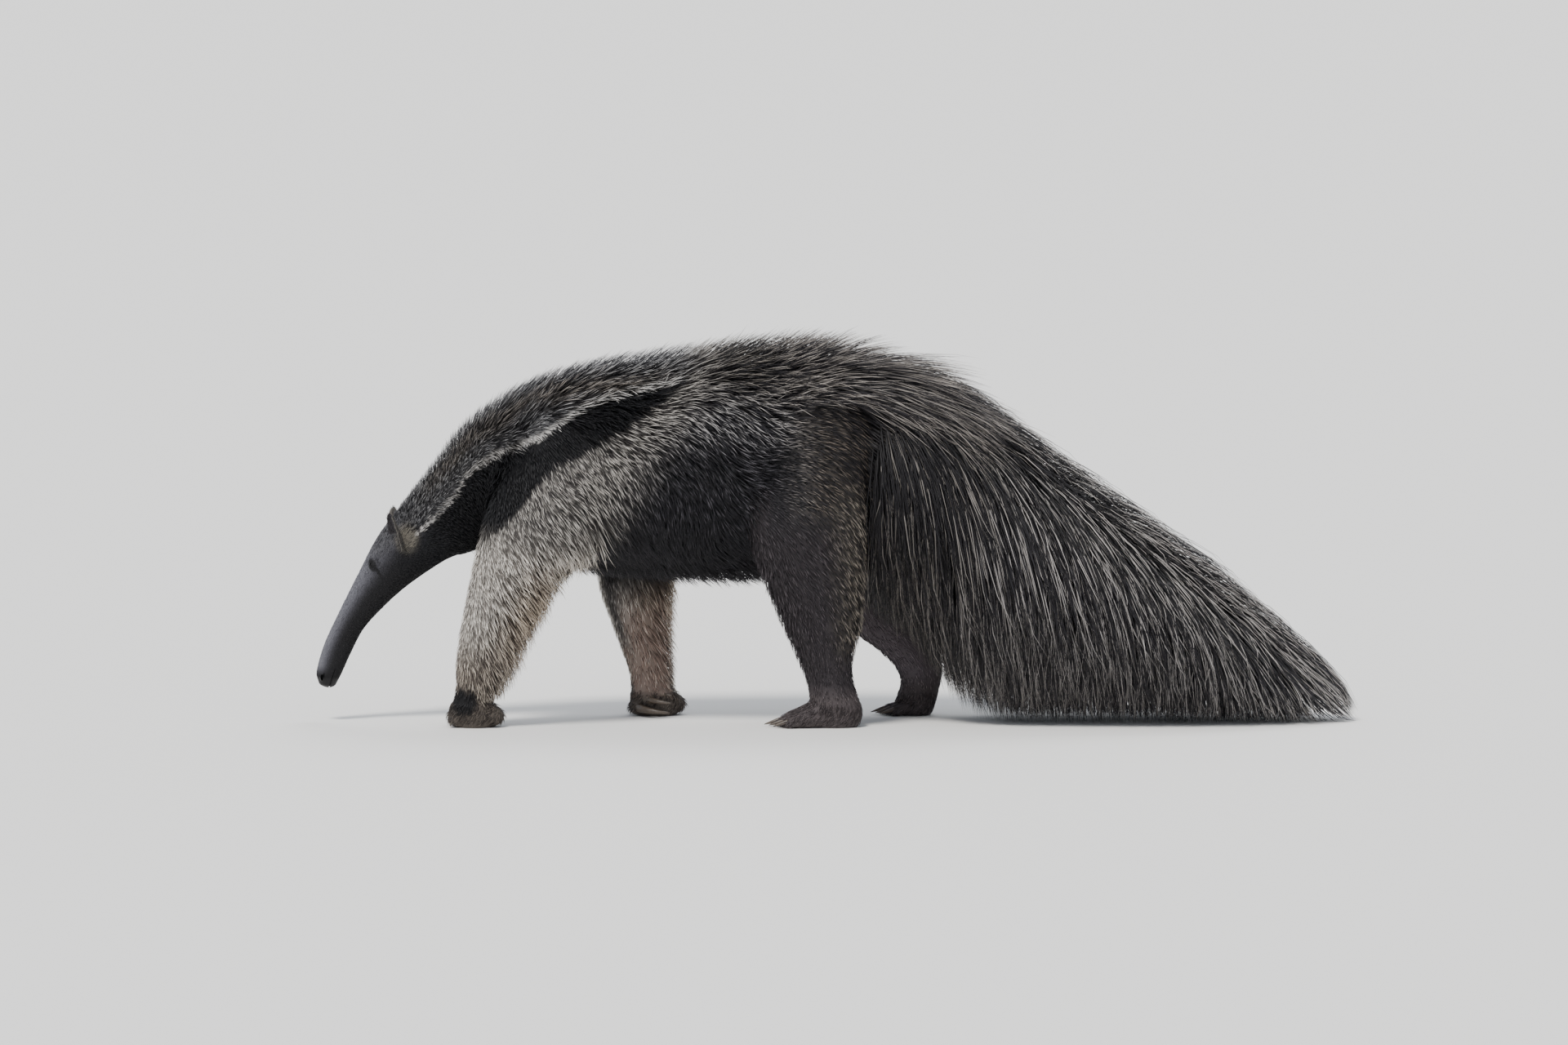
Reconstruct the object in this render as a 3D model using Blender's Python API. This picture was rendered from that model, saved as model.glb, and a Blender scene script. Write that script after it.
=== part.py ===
# A giant anteater walking with its nose to the ground: a still, life-size model.
# Metres, +Z up. The animal faces -X, its left side is -Y, and its soles are at z = 0.
# Trunk, tail and legs are sleeves: rings that run through a few named stations.
# Long hair is flat, tapered locks, rooted in a core and fused with it.

import math
import random

import bmesh
import bpy
import numpy as np
from mathutils import Vector
from mathutils.bvhtree import BVHTree

# Gaps and shares
GAP = 0.0004  # between pieces that touch
CORE_SHARE = 0.5  # of the long hair's depth that the core under it leaves free
LOCK_SINK = 0.012  # how far a lock's root lies inside its core
FAR = 3.0  # side of the boxes that make a plane cut

# Each station: front or top edge (x, z), back or low edge (x, z), y of the middle,
# half width, depth of the long hair at the first edge and at the second.
TRUNK = {
    "nose_tip": (-0.828, 0.068, -0.797, 0.064, 0.0, 0.014, 0.0, 0.0),
    "nose": (-0.832, 0.086, -0.787, 0.083, 0.0, 0.019, 0.0, 0.0),
    "muzzle": (-0.819, 0.136, -0.768, 0.123, 0.0, 0.021, 0.0, 0.0),
    "mid_snout": (-0.796, 0.187, -0.745, 0.165, 0.0, 0.025, 0.0, 0.0),
    "snout_root": (-0.771, 0.238, -0.706, 0.207, 0.0, 0.031, 0.0, 0.0),
    "eye": (-0.753, 0.274, -0.670, 0.239, 0.0, 0.038, 0.0, 0.0),
    "brow": (-0.731, 0.318, -0.626, 0.270, 0.0, 0.046, 0.0, 0.0),
    "ear": (-0.710, 0.352, -0.592, 0.290, 0.0, 0.054, 0.0, 0.0),
    "poll": (-0.679, 0.394, -0.555, 0.302, 0.0, 0.063, 0.010, 0.0),
    "nape": (-0.623, 0.467, -0.512, 0.313, 0.0, 0.078, 0.018, 0.0),
    "neck_base": (-0.566, 0.539, -0.470, 0.304, 0.0, 0.098, 0.024, 0.0),
    "withers": (-0.478, 0.600, -0.406, 0.284, 0.0, 0.120, 0.030, 0.0),
    "shoulder": (-0.362, 0.644, -0.322, 0.267, 0.0, 0.138, 0.034, 0.010),
    "mid_back": (-0.232, 0.668, -0.220, 0.255, 0.0, 0.150, 0.040, 0.022),
    "loin": (-0.101, 0.690, -0.109, 0.249, 0.0, 0.156, 0.052, 0.022),
    "hips": (0.014, 0.703, -0.007, 0.255, 0.0, 0.152, 0.062, 0.016),
    "rump": (0.101, 0.695, 0.090, 0.281, 0.0, 0.136, 0.062, 0.0),
    "tail_root": (0.170, 0.679, 0.170, 0.345, 0.0, 0.110, 0.060, 0.0),
    "dock": (0.262, 0.630, 0.262, 0.330, 0.0, 0.096, 0.060, 0.0),
}
TRUNK_EGG = 0.12  # how much narrower the trunk is above its middle than below

# The tail's coat: a tall curtain of hair that falls from the ridge to the floor.
TAIL_SEAM_X = 0.164
TAIL_COAT = {
    "root": (0.150, 0.684, 0.150, 0.190, 0.0, 0.118),
    "over_thigh": (0.232, 0.650, 0.232, 0.135, 0.0, 0.132),
    "behind_leg": (0.297, 0.608, 0.297, 0.050, 0.0, 0.140),
    "upper": (0.391, 0.538, 0.391, -0.008, 0.0, 0.146),
    "middle": (0.493, 0.455, 0.493, -0.008, 0.0, 0.150),
    "lower": (0.609, 0.380, 0.609, -0.008, 0.0, 0.148),
    "drag": (0.725, 0.293, 0.725, -0.008, 0.0, 0.136),
    "brush": (0.841, 0.202, 0.841, -0.008, 0.0, 0.112),
    "brush_end": (0.928, 0.107, 0.928, -0.008, 0.0, 0.072),
    "tip": (1.006, 0.016, 1.006, -0.006, 0.0, 0.014),
}
TAIL_COAT_EGG = 0.45  # a tent-shaped section, wide at the hem
TAIL_CORE = {
    "root": (0.150, 0.656, 0.150, 0.342, 0.0, 0.113),
    "dock": (0.190, 0.636, 0.190, 0.362, 0.0, 0.099),
    "over_thigh": (0.236, 0.610, 0.236, 0.356, 0.0, 0.080),
    "behind_leg": (0.297, 0.572, 0.297, 0.312, 0.0, 0.070),
    "upper": (0.391, 0.503, 0.391, 0.250, 0.0, 0.064),
    "middle": (0.493, 0.422, 0.493, 0.198, 0.0, 0.062),
    "lower": (0.609, 0.346, 0.609, 0.150, 0.0, 0.057),
    "drag": (0.725, 0.260, 0.725, 0.104, 0.0, 0.048),
    "brush": (0.841, 0.168, 0.841, 0.058, 0.0, 0.034),
    "brush_end": (0.915, 0.088, 0.915, 0.028, 0.0, 0.016),
}
TAIL_CORE_EGG = 0.15

LEGS = {
    "left_foreleg": {
        "top": (-0.415, 0.590, -0.295, 0.560, -0.045, 0.030, 0.0, 0.0),
        "shoulder": (-0.462, 0.525, -0.277, 0.480, -0.080, 0.054, 0.0, 0.0),
        "upper_arm": (-0.528, 0.390, -0.312, 0.325, -0.102, 0.064, 0.0, 0.030),
        "elbow": (-0.551, 0.303, -0.360, 0.267, -0.106, 0.062, 0.0, 0.050),
        "forearm": (-0.564, 0.238, -0.389, 0.213, -0.105, 0.056, 0.0, 0.056),
        "mid_forearm": (-0.577, 0.165, -0.429, 0.151, -0.102, 0.050, 0.0, 0.050),
        "low_forearm": (-0.583, 0.107, -0.470, 0.088, -0.098, 0.043, 0.0, 0.030),
        "wrist": (-0.582, 0.062, -0.513, 0.045, -0.095, 0.037, 0.0, 0.006),
        "palm": (-0.594, 0.026, -0.503, 0.022, -0.095, 0.041, 0.0, 0.0),
        "sole": (-0.584, 0.0, -0.509, 0.0, -0.095, 0.033, 0.0, 0.0),
    },
    "right_foreleg": {
        "top": (-0.400, 0.584, -0.280, 0.555, 0.045, 0.030, 0.0, 0.0),
        "shoulder": (-0.447, 0.518, -0.263, 0.466, 0.080, 0.054, 0.0, 0.0),
        "upper_arm": (-0.391, 0.405, -0.189, 0.347, 0.100, 0.062, 0.0, 0.020),
        "elbow": (-0.348, 0.296, -0.171, 0.274, 0.104, 0.058, 0.0, 0.034),
        "forearm": (-0.333, 0.223, -0.177, 0.209, 0.103, 0.052, 0.0, 0.034),
        "mid_forearm": (-0.307, 0.151, -0.186, 0.141, 0.100, 0.046, 0.0, 0.028),
        "low_forearm": (-0.284, 0.093, -0.191, 0.083, 0.097, 0.040, 0.0, 0.014),
        "wrist": (-0.275, 0.058, -0.194, 0.049, 0.095, 0.036, 0.0, 0.004),
        "palm": (-0.276, 0.025, -0.186, 0.021, 0.095, 0.040, 0.0, 0.0),
        "sole": (-0.266, 0.0, -0.192, 0.0, 0.095, 0.032, 0.0, 0.0),
    },
    "left_hindleg": {
        "top": (-0.030, 0.610, 0.100, 0.625, -0.040, 0.030, 0.0, 0.0),
        "haunch": (-0.062, 0.530, 0.128, 0.556, -0.084, 0.051, 0.0, 0.0),
        "thigh": (-0.078, 0.398, 0.150, 0.412, -0.110, 0.062, 0.0, 0.006),
        "stifle": (-0.057, 0.293, 0.154, 0.276, -0.111, 0.060, 0.012, 0.016),
        "shank": (-0.022, 0.209, 0.146, 0.184, -0.108, 0.050, 0.014, 0.014),
        "low_shank": (0.009, 0.144, 0.125, 0.125, -0.104, 0.040, 0.010, 0.0),
        "ankle": (0.038, 0.082, 0.125, 0.078, -0.100, 0.035, 0.0, 0.0),
        "heel": (0.044, 0.036, 0.140, 0.028, -0.100, 0.037, 0.0, 0.0),
        "sole": (0.044, 0.0, 0.132, 0.0, -0.100, 0.029, 0.0, 0.0),
    },
    "right_hindleg": {
        "top": (-0.025, 0.604, 0.100, 0.618, 0.040, 0.030, 0.0, 0.0),
        "haunch": (-0.051, 0.521, 0.126, 0.550, 0.084, 0.051, 0.0, 0.0),
        "thigh": (-0.051, 0.390, 0.148, 0.390, 0.110, 0.060, 0.0, 0.0),
        "stifle": (0.000, 0.274, 0.172, 0.312, 0.110, 0.056, 0.0, 0.0),
        "shank": (0.065, 0.199, 0.196, 0.252, 0.106, 0.046, 0.008, 0.0),
        "low_shank": (0.131, 0.141, 0.232, 0.187, 0.103, 0.039, 0.0, 0.0),
        "ankle": (0.184, 0.100, 0.273, 0.136, 0.101, 0.034, 0.0, 0.0),
        "heel": (0.207, 0.066, 0.284, 0.080, 0.100, 0.033, 0.0, 0.0),
        "ball": (0.200, 0.024, 0.274, 0.028, 0.100, 0.037, 0.0, 0.0),
        "sole": (0.204, 0.0, 0.264, 0.0, 0.100, 0.031, 0.0, 0.0),
    },
}
LEG_FOOT_SEAM = {
    "left_foreleg": "wrist",
    "right_foreleg": "wrist",
    "left_hindleg": "ankle",
    "right_hindleg": "ankle",
}

# Head details
EYE_RADIUS = 0.0085
EYE_BEYOND = 0.016  # from the eye station back to the eyeball's centre
EYE_ANGLE = 50.0  # degrees round the head from the crown
EYE_DEPTH = 0.0050  # centre of the eyeball under the cheek's surface
EYE_SLANT = (0.55, 0.0, -0.83)  # direction of the opening between the lids
LID_LONG = 0.0084  # half the opening along that direction, and half across it
LID_HIGH = 0.0056
LID_RADIUS = 0.0024
LID_LIFT = 0.0006  # of the rim over the eyeball
EAR_BEFORE = 0.016  # from the ear station forward to the ear's root
EAR_ANGLE = 66.0
EAR_RISE = (-0.30, 0.36, 0.88)  # of the right ear, mirrored in y for the left one
EAR_FACING = (-0.88, 0.46, -0.10)
EAR_LENGTH = 0.059
EAR_SUNK = 0.014  # length of the ear's root inside the head
EAR_HALF_WIDTH = 0.019
EAR_CUP = 0.012
EAR_WALL = 0.0026
EAR_LEAN = 0.004  # of the tip, away from the side it faces
EAR_CORNER = 0.006  # how much lower the rim's corners are than the tip
MOUTH_LENGTH = 0.030
MOUTH_LEVEL = (0.38, 0.34)  # share of the way from the middle to the chin, inside and in front
MOUTH_GAP = 0.0016
LIP_RADIUS = 0.0021
LIP_POINTS = 9
NOSTRIL_SIZE = (0.0042, 0.0030, 0.0065)
NOSTRIL_ANGLE = 62.0
NOSE_RINGS = (0.0, 0.006, 0.015, 0.026, 0.040)  # distances from the snout's first ring
NOSE_BULGE = 0.0060  # of the snout's end beyond its first ring

# Digits of a forefoot, which walks on its knuckles with the claws folded in and back.
# Each: place of the knuckle ahead of the sole's middle, towards the other foot and above
# the floor, radius of its flesh, then its claw's first and last heading (degrees from
# ahead towards the other foot), length and root radius.
FORE_DIGITS = (
    (-0.012, 0.029, 0.041, 0.0100, 118, 170, 0.022, 0.0036),
    (0.014, 0.026, 0.032, 0.0145, 108, 186, 0.054, 0.0068),
    (0.033, 0.014, 0.017, 0.0165, 100, 192, 0.078, 0.0085),
    (0.030, -0.018, 0.014, 0.0150, 30, 80, 0.028, 0.0042),
)
HIND_TOES = 5
HIND_TOE_RADIUS = 0.0100
HIND_CLAW_LENGTH = 0.027
HIND_CLAW_RADIUS = 0.0042
HIND_REACH = {"left_hindleg": 0.094, "right_hindleg": 0.050}
HIND_SPREAD = 0.054  # from the first toe's middle to the last one's
HIND_TOE_LENGTH = 0.030
HIND_TOE_RISE = (0.016, 0.0105)  # of a toe's knuckle and its end
FORE_CLAW_FALL = 0.10  # drop of a claw for each metre of its length
HIND_CLAW_FALL = 0.30
SOLE_SUNK = 0.004  # how far the instep's rings reach below the floor before the cut
# The flat front of the left hind foot: reach ahead of the sole's middle, height, half width
INSTEP = (
    (-0.012, 0.058, 0.030),
    (0.030, 0.050, 0.036),
    (0.058, 0.036, 0.037),
    (0.086, 0.024, 0.033),
)

COLOURS = {
    "short_fur": ((0.095, 0.085, 0.080), 0.85),
    "dark_fur": ((0.030, 0.026, 0.026), 0.88),
    "pale_fur": ((0.330, 0.300, 0.265), 0.88),
    "long_hair": ((0.085, 0.076, 0.070), 0.80),
    "eye": ((0.012, 0.009, 0.008), 0.08),
    "horn": ((0.150, 0.120, 0.095), 0.45),
}


def unit(vector):
    return vector / np.linalg.norm(vector)


class Sleeve:
    """Rings that run smoothly through stations, at any place t along them and angle round them.

    Angle 0 is the first edge, 90 degrees is +Y, 180 is the second edge. t is the distance
    along the middle line, or x where by_x is set.
    """

    def __init__(self, stations, egg=0.0, inset=0.0, by_x=False):
        self.names = list(stations)
        rows = np.array([(tuple(row) + (0.0, 0.0))[:8] for row in stations.values()])
        edge_a, edge_b = rows[:, [0, 1]], rows[:, [2, 3]]
        span = np.linalg.norm(edge_a - edge_b, axis=1)[:, None]
        towards = (edge_a - edge_b) / span
        edge_a = edge_a - towards * rows[:, 6:7] * inset
        edge_b = edge_b + towards * rows[:, 7:8] * inset
        self.rows = np.hstack([edge_a, edge_b, rows[:, 4:6]])
        middle = (edge_a + edge_b) / 2
        steps = np.linalg.norm(np.diff(middle, axis=0), axis=1)
        self.knots = rows[:, 0] if by_x else np.concatenate([[0.0], np.cumsum(steps)])
        self.slopes = self._slopes()
        self.egg = egg

    def _slopes(self):
        """Catmull-Rom slopes of every column at every station."""
        rows, knots = self.rows, self.knots
        slopes = np.empty_like(rows)
        slopes[1:-1] = (rows[2:] - rows[:-2]) / (knots[2:] - knots[:-2])[:, None]
        slopes[0] = (rows[1] - rows[0]) / (knots[1] - knots[0])
        slopes[-1] = (rows[-1] - rows[-2]) / (knots[-1] - knots[-2])
        return slopes

    def place(self, name):
        return self.knots[self.names.index(name)]

    def row(self, t):
        """The station's numbers at t, from a Hermite curve between its neighbours."""
        i = int(np.clip(np.searchsorted(self.knots, t) - 1, 0, len(self.knots) - 2))
        width = self.knots[i + 1] - self.knots[i]
        u = (t - self.knots[i]) / width
        return (
            self.rows[i] * (2 * u**3 - 3 * u**2 + 1)
            + self.slopes[i] * width * (u**3 - 2 * u**2 + u)
            + self.rows[i + 1] * (3 * u**2 - 2 * u**3)
            + self.slopes[i + 1] * width * (u**3 - u**2)
        )

    def middle(self, t):
        row = self.row(t)
        return np.array([(row[0] + row[2]) / 2, row[4], (row[1] + row[3]) / 2])

    def up(self, t):
        """Unit vector from the second edge to the first."""
        row = self.row(t)
        return unit(np.array([row[0] - row[2], 0.0, row[1] - row[3]]))

    def along(self, t):
        step = 1e-4
        return unit(self.middle(t + step) - self.middle(t - step))

    def point(self, t, angle, grow=0.0):
        """A point of the surface. angle is in degrees."""
        row, turn = self.row(t), math.radians(angle)
        half = math.hypot(row[0] - row[2], row[1] - row[3]) / 2 + grow
        side = (row[5] + grow) * (1 - self.egg * math.cos(turn))
        offset = self.up(t) * half * math.cos(turn)
        return self.middle(t) + offset + np.array([0.0, side * math.sin(turn), 0.0])

    def normal(self, t, angle):
        """Outward unit vector, square to the surface's two directions."""
        step = 1e-3
        round_it = self.point(t, angle + 1) - self.point(t, angle - 1)
        along_it = self.point(t + step, angle) - self.point(t - step, angle)
        out = unit(np.cross(round_it, along_it))
        outward = self.point(t, angle) - self.middle(t)
        return out if np.dot(out, outward) > 0 else -out

    def ring(self, t, sides, grow=0.0):
        return [self.point(t, 360.0 * k / sides, grow) for k in range(sides)]

    def solid(self, name, start, end, rings, sides, grow=0.0, tip=None):
        """A closed solid from t = start to t = end. tip rounds off the start over a point."""
        places = np.linspace(start, end, rings)
        return solid_of_rings(name, [self.ring(t, sides, grow) for t in places], tip)


def add_object(name, points, faces):
    mesh = bpy.data.meshes.new(name)
    mesh.from_pydata([tuple(map(float, p)) for p in points], [], faces)
    shape = bmesh.new()
    shape.from_mesh(mesh)
    bmesh.ops.recalc_face_normals(shape, faces=shape.faces)
    bmesh.ops.triangulate(shape, faces=shape.faces)
    shape.to_mesh(mesh)
    shape.free()
    obj = bpy.data.objects.new(name, mesh)
    bpy.context.scene.collection.objects.link(obj)
    return obj


def solid_of_rings(name, rings, first_tip=None, last_tip=None):
    """Rings of points joined into a closed solid, with a flat end or a fan to a tip."""
    sides, count = len(rings[0]), len(rings)
    points = [p for ring in rings for p in ring]
    faces = []
    for r in range(count - 1):
        for k in range(sides):
            a, b = r * sides + k, r * sides + (k + 1) % sides
            faces.append((a, b, b + sides, a + sides))
    for tip, base in ((first_tip, 0), (last_tip, (count - 1) * sides)):
        if tip is None:
            faces.append(tuple(range(base, base + sides)))
        else:
            points.append(tip)
            apex = len(points) - 1
            faces += [(base + k, base + (k + 1) % sides, apex) for k in range(sides)]
    return add_object(name, points, faces)


def ellipsoid(name, centre, axes, radii, segments=10, rows=6):
    """A closed ellipsoid whose own axes are the given unit vectors."""
    axes = np.array(axes)
    rings = []
    for r in range(1, rows):
        lift = math.pi * r / rows
        ring = []
        for k in range(segments):
            turn = 2 * math.pi * k / segments
            local = np.array(
                [
                    radii[0] * math.sin(lift) * math.cos(turn),
                    radii[1] * math.sin(lift) * math.sin(turn),
                    radii[2] * math.cos(lift),
                ]
            )
            ring.append(centre + local @ axes)
        rings.append(ring)
    return solid_of_rings(
        name, rings, centre + axes[2] * radii[2], centre - axes[2] * radii[2]
    )


def tube(name, path, radius, sides=5, closed=False):
    """A tube of one radius, or of a radius for each point, along a path."""
    path = [np.array(p, float) for p in path]
    count = len(path)
    radii = radius if hasattr(radius, "__len__") else [radius] * count
    side = None
    rings = []
    for i, p in enumerate(path):
        before = path[i - 1] if (i > 0 or closed) else p
        after = path[(i + 1) % count] if (i < count - 1 or closed) else p
        tangent = unit(after - before)
        if side is None:
            helper = np.array([0.0, 0.0, 1.0])
            if abs(tangent[2]) > 0.9:
                helper = np.array([1.0, 0.0, 0.0])
            side = unit(np.cross(tangent, helper))
        side = unit(side - tangent * np.dot(side, tangent))
        other = np.cross(tangent, side)
        turns = [2 * math.pi * k / sides for k in range(sides)]
        rings.append(
            [p + radii[i] * (side * math.cos(a) + other * math.sin(a)) for a in turns]
        )
    if not closed:
        return solid_of_rings(name, rings)
    points = [p for ring in rings for p in ring]
    faces = []
    for r in range(count):
        for k in range(sides):
            a, b = r * sides + k, r * sides + (k + 1) % sides
            c = ((r + 1) % count) * sides
            faces.append((a, b, c + (k + 1) % sides, c + k))
    return add_object(name, points, faces)


def half_space(point, outward):
    """A big box whose one face passes through point, on the side that outward points to."""
    out = unit(np.array(outward, float))
    side = unit(np.cross(out, [0.0, 1.0, 0.0] if abs(out[1]) < 0.9 else [1.0, 0.0, 0.0]))
    other = np.cross(out, side)
    ring = [side + other, side - other, -side - other, -side + other]
    near = [np.array(point) + FAR * p for p in ring]
    return solid_of_rings("half_space", [near, [p + FAR * out for p in near]])


def apply_boolean(target, operation, pieces):
    """Joins or cuts target with every piece at once, then removes the pieces."""
    if not pieces:
        return target
    group = bpy.data.collections.new("pieces")
    bpy.context.scene.collection.children.link(group)
    for piece in pieces:
        bpy.context.scene.collection.objects.unlink(piece)
        group.objects.link(piece)
    modifier = target.modifiers.new(operation.lower(), "BOOLEAN")
    modifier.operation = operation
    modifier.operand_type = "COLLECTION"
    modifier.collection = group
    modifier.solver = "MANIFOLD"  # EXACT takes minutes on this many crossing locks
    bpy.context.view_layer.update()
    graph = bpy.context.evaluated_depsgraph_get()
    joined = bpy.data.meshes.new_from_object(target.evaluated_get(graph))
    target.modifiers.clear()
    old = target.data
    target.data = joined
    bpy.data.meshes.remove(old)
    for piece in pieces:
        bpy.data.objects.remove(piece)
    bpy.data.collections.remove(group)
    return target


def keep_largest(obj):
    """Drops every closed surface but the largest, and the thinnest slivers."""
    shape = bmesh.new()
    shape.from_mesh(obj.data)
    bmesh.ops.dissolve_degenerate(shape, dist=2e-6, edges=shape.edges)
    bmesh.ops.triangulate(shape, faces=shape.faces)
    left, groups = set(shape.faces), []
    while left:
        stack = [left.pop()]
        group = list(stack)
        while stack:
            for edge in stack.pop().edges:
                for face in edge.link_faces:
                    if face in left:
                        left.remove(face)
                        stack.append(face)
                        group.append(face)
        groups.append(group)

    def volume(group):
        corners = [[v.co for v in face.verts] for face in group]
        return abs(sum(a.dot(b.cross(c)) for a, b, c in corners))

    groups.sort(key=volume)
    bmesh.ops.delete(shape, geom=[f for g in groups[:-1] for f in g], context="FACES")
    shape.to_mesh(obj.data)
    shape.free()
    return obj


def hair_lock(root, tip, root_out, tip_out, arch, width, depth, steps):
    """A flat, tapered lock with a raised middle, bent between its root and its tip."""
    root = root - root_out * LOCK_SINK
    length = np.linalg.norm(tip - root)
    bend_a = root + (tip - root) * 0.35 + root_out * arch * length
    bend_b = root + (tip - root) * 0.70 + (root_out + tip_out) / 2 * arch * length
    rings = []
    for i in range(steps):
        u = i / steps
        v = 1 - u
        p = v**3 * root + 3 * v * v * u * bend_a + 3 * v * u * u * bend_b + u**3 * tip
        tangent = unit(
            3 * v * v * (bend_a - root)
            + 6 * v * u * (bend_b - bend_a)
            + 3 * u * u * (tip - bend_b)
        )
        side = unit(np.cross(tangent, root_out * v + tip_out * u))
        out = np.cross(side, tangent)
        full = (0.75 + 0.25 * min(1.0, 4 * u)) * (1 - u**3)
        half = width / 2 * full
        thick = depth * (1 - 0.5 * u) * full
        rings.append(
            [
                p + side * half - out * thick * 0.4,
                p - side * half - out * thick * 0.4,
                p + out * thick * 0.6,
            ]
        )
    return solid_of_rings("lock", rings, None, tip)


def coat_locks(core, coat, rows, seed, beyond=-FAR):
    """Locks in rows along a sleeve, each from the core's surface to the coat's.

    Each row holds its first and last place, number of locks, angle of the roots, turn to the
    tips, run along the sleeve, width, depth, arch and steps. Angles are mirrored where a row
    isn't in the middle. Only locks whose tips lie beyond a place in x are made.
    """
    dice = random.Random(seed)
    locks = []
    for row in rows:
        for mirrored in (1, -1) if row["angle"] % 180 else (1,):
            for k in range(row["count"]):
                share = (k + 0.5 * (row.get("stagger", 0)) + 0.25) / row["count"]
                t = row["start"] + (row["end"] - row["start"]) * share
                t += dice.uniform(-0.15, 0.15) * (row["end"] - row["start"]) / row["count"]
                angle = mirrored * (row["angle"] + dice.uniform(-3, 3))
                turn = mirrored * row["turn"] * dice.uniform(0.85, 1.1)
                run = row["run"] * dice.uniform(0.85, 1.12)
                width = row["width"] * dice.uniform(0.88, 1.12)
                last = min(t + run, coat.knots[-1])
                tip = coat.point(last, angle + turn)
                if tip[0] < beyond:
                    continue
                locks.append(
                    hair_lock(
                        core.point(t, angle),
                        tip,
                        core.normal(t, angle),
                        coat.normal(last - 1e-3, angle + turn),
                        row.get("arch", 0.10),
                        width,
                        row["depth"],
                        row.get("steps", 4),
                    )
                )
    return locks


def fuse(core, pieces):
    return keep_largest(apply_boolean(core, "UNION", pieces))


def cut(obj, cutters):
    return keep_largest(apply_boolean(obj, "DIFFERENCE", cutters))


def trunk_core():
    return Sleeve(TRUNK, TRUNK_EGG, CORE_SHARE)


def trunk_coat():
    return Sleeve(TRUNK, TRUNK_EGG)


def seam(sleeve, name, side, grow=0.0):
    """A plane cut square to the sleeve at a station, half a gap to one side of it."""
    t = sleeve.place(name)
    up = sleeve.up(t)
    along = unit(np.cross([0.0, 1.0, 0.0], up))
    along = along if np.dot(along, sleeve.along(t)) > 0 else -along
    return half_space(sleeve.middle(t) - side * along * (GAP / 2 - grow), side * along)


def torso_core(grow=0.0):
    core, coat = trunk_core(), trunk_coat()
    start, end = core.place("neck_base"), core.place("tail_root")
    torso = core.solid("torso", start - 0.02, end, 14, 20, grow)
    return cut(torso, [seam(coat, "neck_base", -1, grow), tail_seam(grow)])


def tail_seam(grow=0.0):
    return half_space((TAIL_SEAM_X - GAP / 2 + grow, 0, 0), (1, 0, 0))


def back_locks(beyond=-FAR):
    """The crest from the neck to the tail, the rump's sides and the belly's hem."""
    core, coat = trunk_core(), trunk_coat()
    front, end = core.place("neck_base") - 0.01, core.place("tail_root") + 0.01
    crest = {"start": front, "end": end, "run": 0.105, "depth": 0.016, "arch": 0.10}
    rows = [
        {**crest, "count": 11, "angle": 0, "turn": 0, "width": 0.052},
        {**crest, "count": 9, "angle": 18, "turn": 4, "width": 0.058, "stagger": 1},
        {**crest, "count": 6, "angle": 38, "turn": 6, "width": 0.062,
         "start": core.place("mid_back")},
        {"start": core.place("shoulder"), "end": core.place("hips") - 0.02, "count": 6,
         "angle": 180, "turn": 0, "run": 0.035, "width": 0.070, "depth": 0.012,
         "arch": 0.02, "steps": 3},
    ]
    return coat_locks(core, coat, rows, 11, beyond)


def make_torso():
    torso = fuse(torso_core(), back_locks())
    return cut(torso, [seam(trunk_coat(), "neck_base", -1), tail_seam()])


def neck_core(grow=0.0):
    core, coat = trunk_core(), trunk_coat()
    start, end = core.place("poll"), core.place("neck_base")
    neck = core.solid("neck", start - 0.01, end + 0.02, 6, 18, grow)
    return cut(neck, [seam(coat, "neck_base", 1, grow), seam(coat, "poll", -1, grow)])


def make_neck():
    core, coat = trunk_core(), trunk_coat()
    mane = {"start": core.place("poll") - 0.004, "end": core.place("neck_base") + 0.01,
            "run": 0.045, "width": 0.032, "depth": 0.010, "arch": 0.12, "steps": 3}
    rows = [
        {**mane, "count": 6, "angle": 0, "turn": 0},
        {**mane, "count": 4, "angle": 24, "turn": 2, "stagger": 1},
    ]
    neck = neck_core()
    fuse(neck, coat_locks(core, coat, rows, 12))
    return cut(neck, [seam(coat, "neck_base", 1), seam(coat, "poll", -1)])


def eye_place(side):
    """Centre of an eyeball and the outward direction there."""
    head = trunk_coat()
    t = head.place("eye") + EYE_BEYOND
    angle = side * EYE_ANGLE
    out = head.normal(t, angle)
    return head.point(t, angle) - out * EYE_DEPTH, out


def eye_axes(side):
    """Unit vectors along the eye's opening, across it, and outward."""
    _, out = eye_place(side)
    long = np.array(EYE_SLANT)
    long = unit(long - out * np.dot(long, out))
    return long, np.cross(out, long), out


def eyelids(side):
    """A raised almond rim round the eye, thicker above."""
    centre, _ = eye_place(side)
    long, across, out = eye_axes(side)
    path, radii = [], []
    for k in range(10):
        turn = 2 * math.pi * k / 10
        open_a, open_b = LID_LONG * math.cos(turn), LID_HIGH * math.sin(turn)
        level = math.sqrt(max(0.0, (EYE_RADIUS + LID_LIFT) ** 2 - open_a**2 - open_b**2))
        path.append(centre + long * open_a + across * open_b + out * level)
        radii.append(LID_RADIUS * (1.0 + 0.15 * abs(math.sin(turn))))
    return tube("lid", path, radii, 4, closed=True)


def mouth_frame():
    """The middle of the mouth slit's inner end, its direction to the snout's tip, its normal."""
    head = trunk_coat()
    inner, outer = (
        head.middle(t) * (1 - level) + head.point(t, 180) * level
        for t, level in zip((MOUTH_LENGTH, head.place("nose_tip")), MOUTH_LEVEL)
    )
    forward = unit(outer - inner)
    return inner, forward, np.cross(forward, [0.0, 1.0, 0.0])


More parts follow.
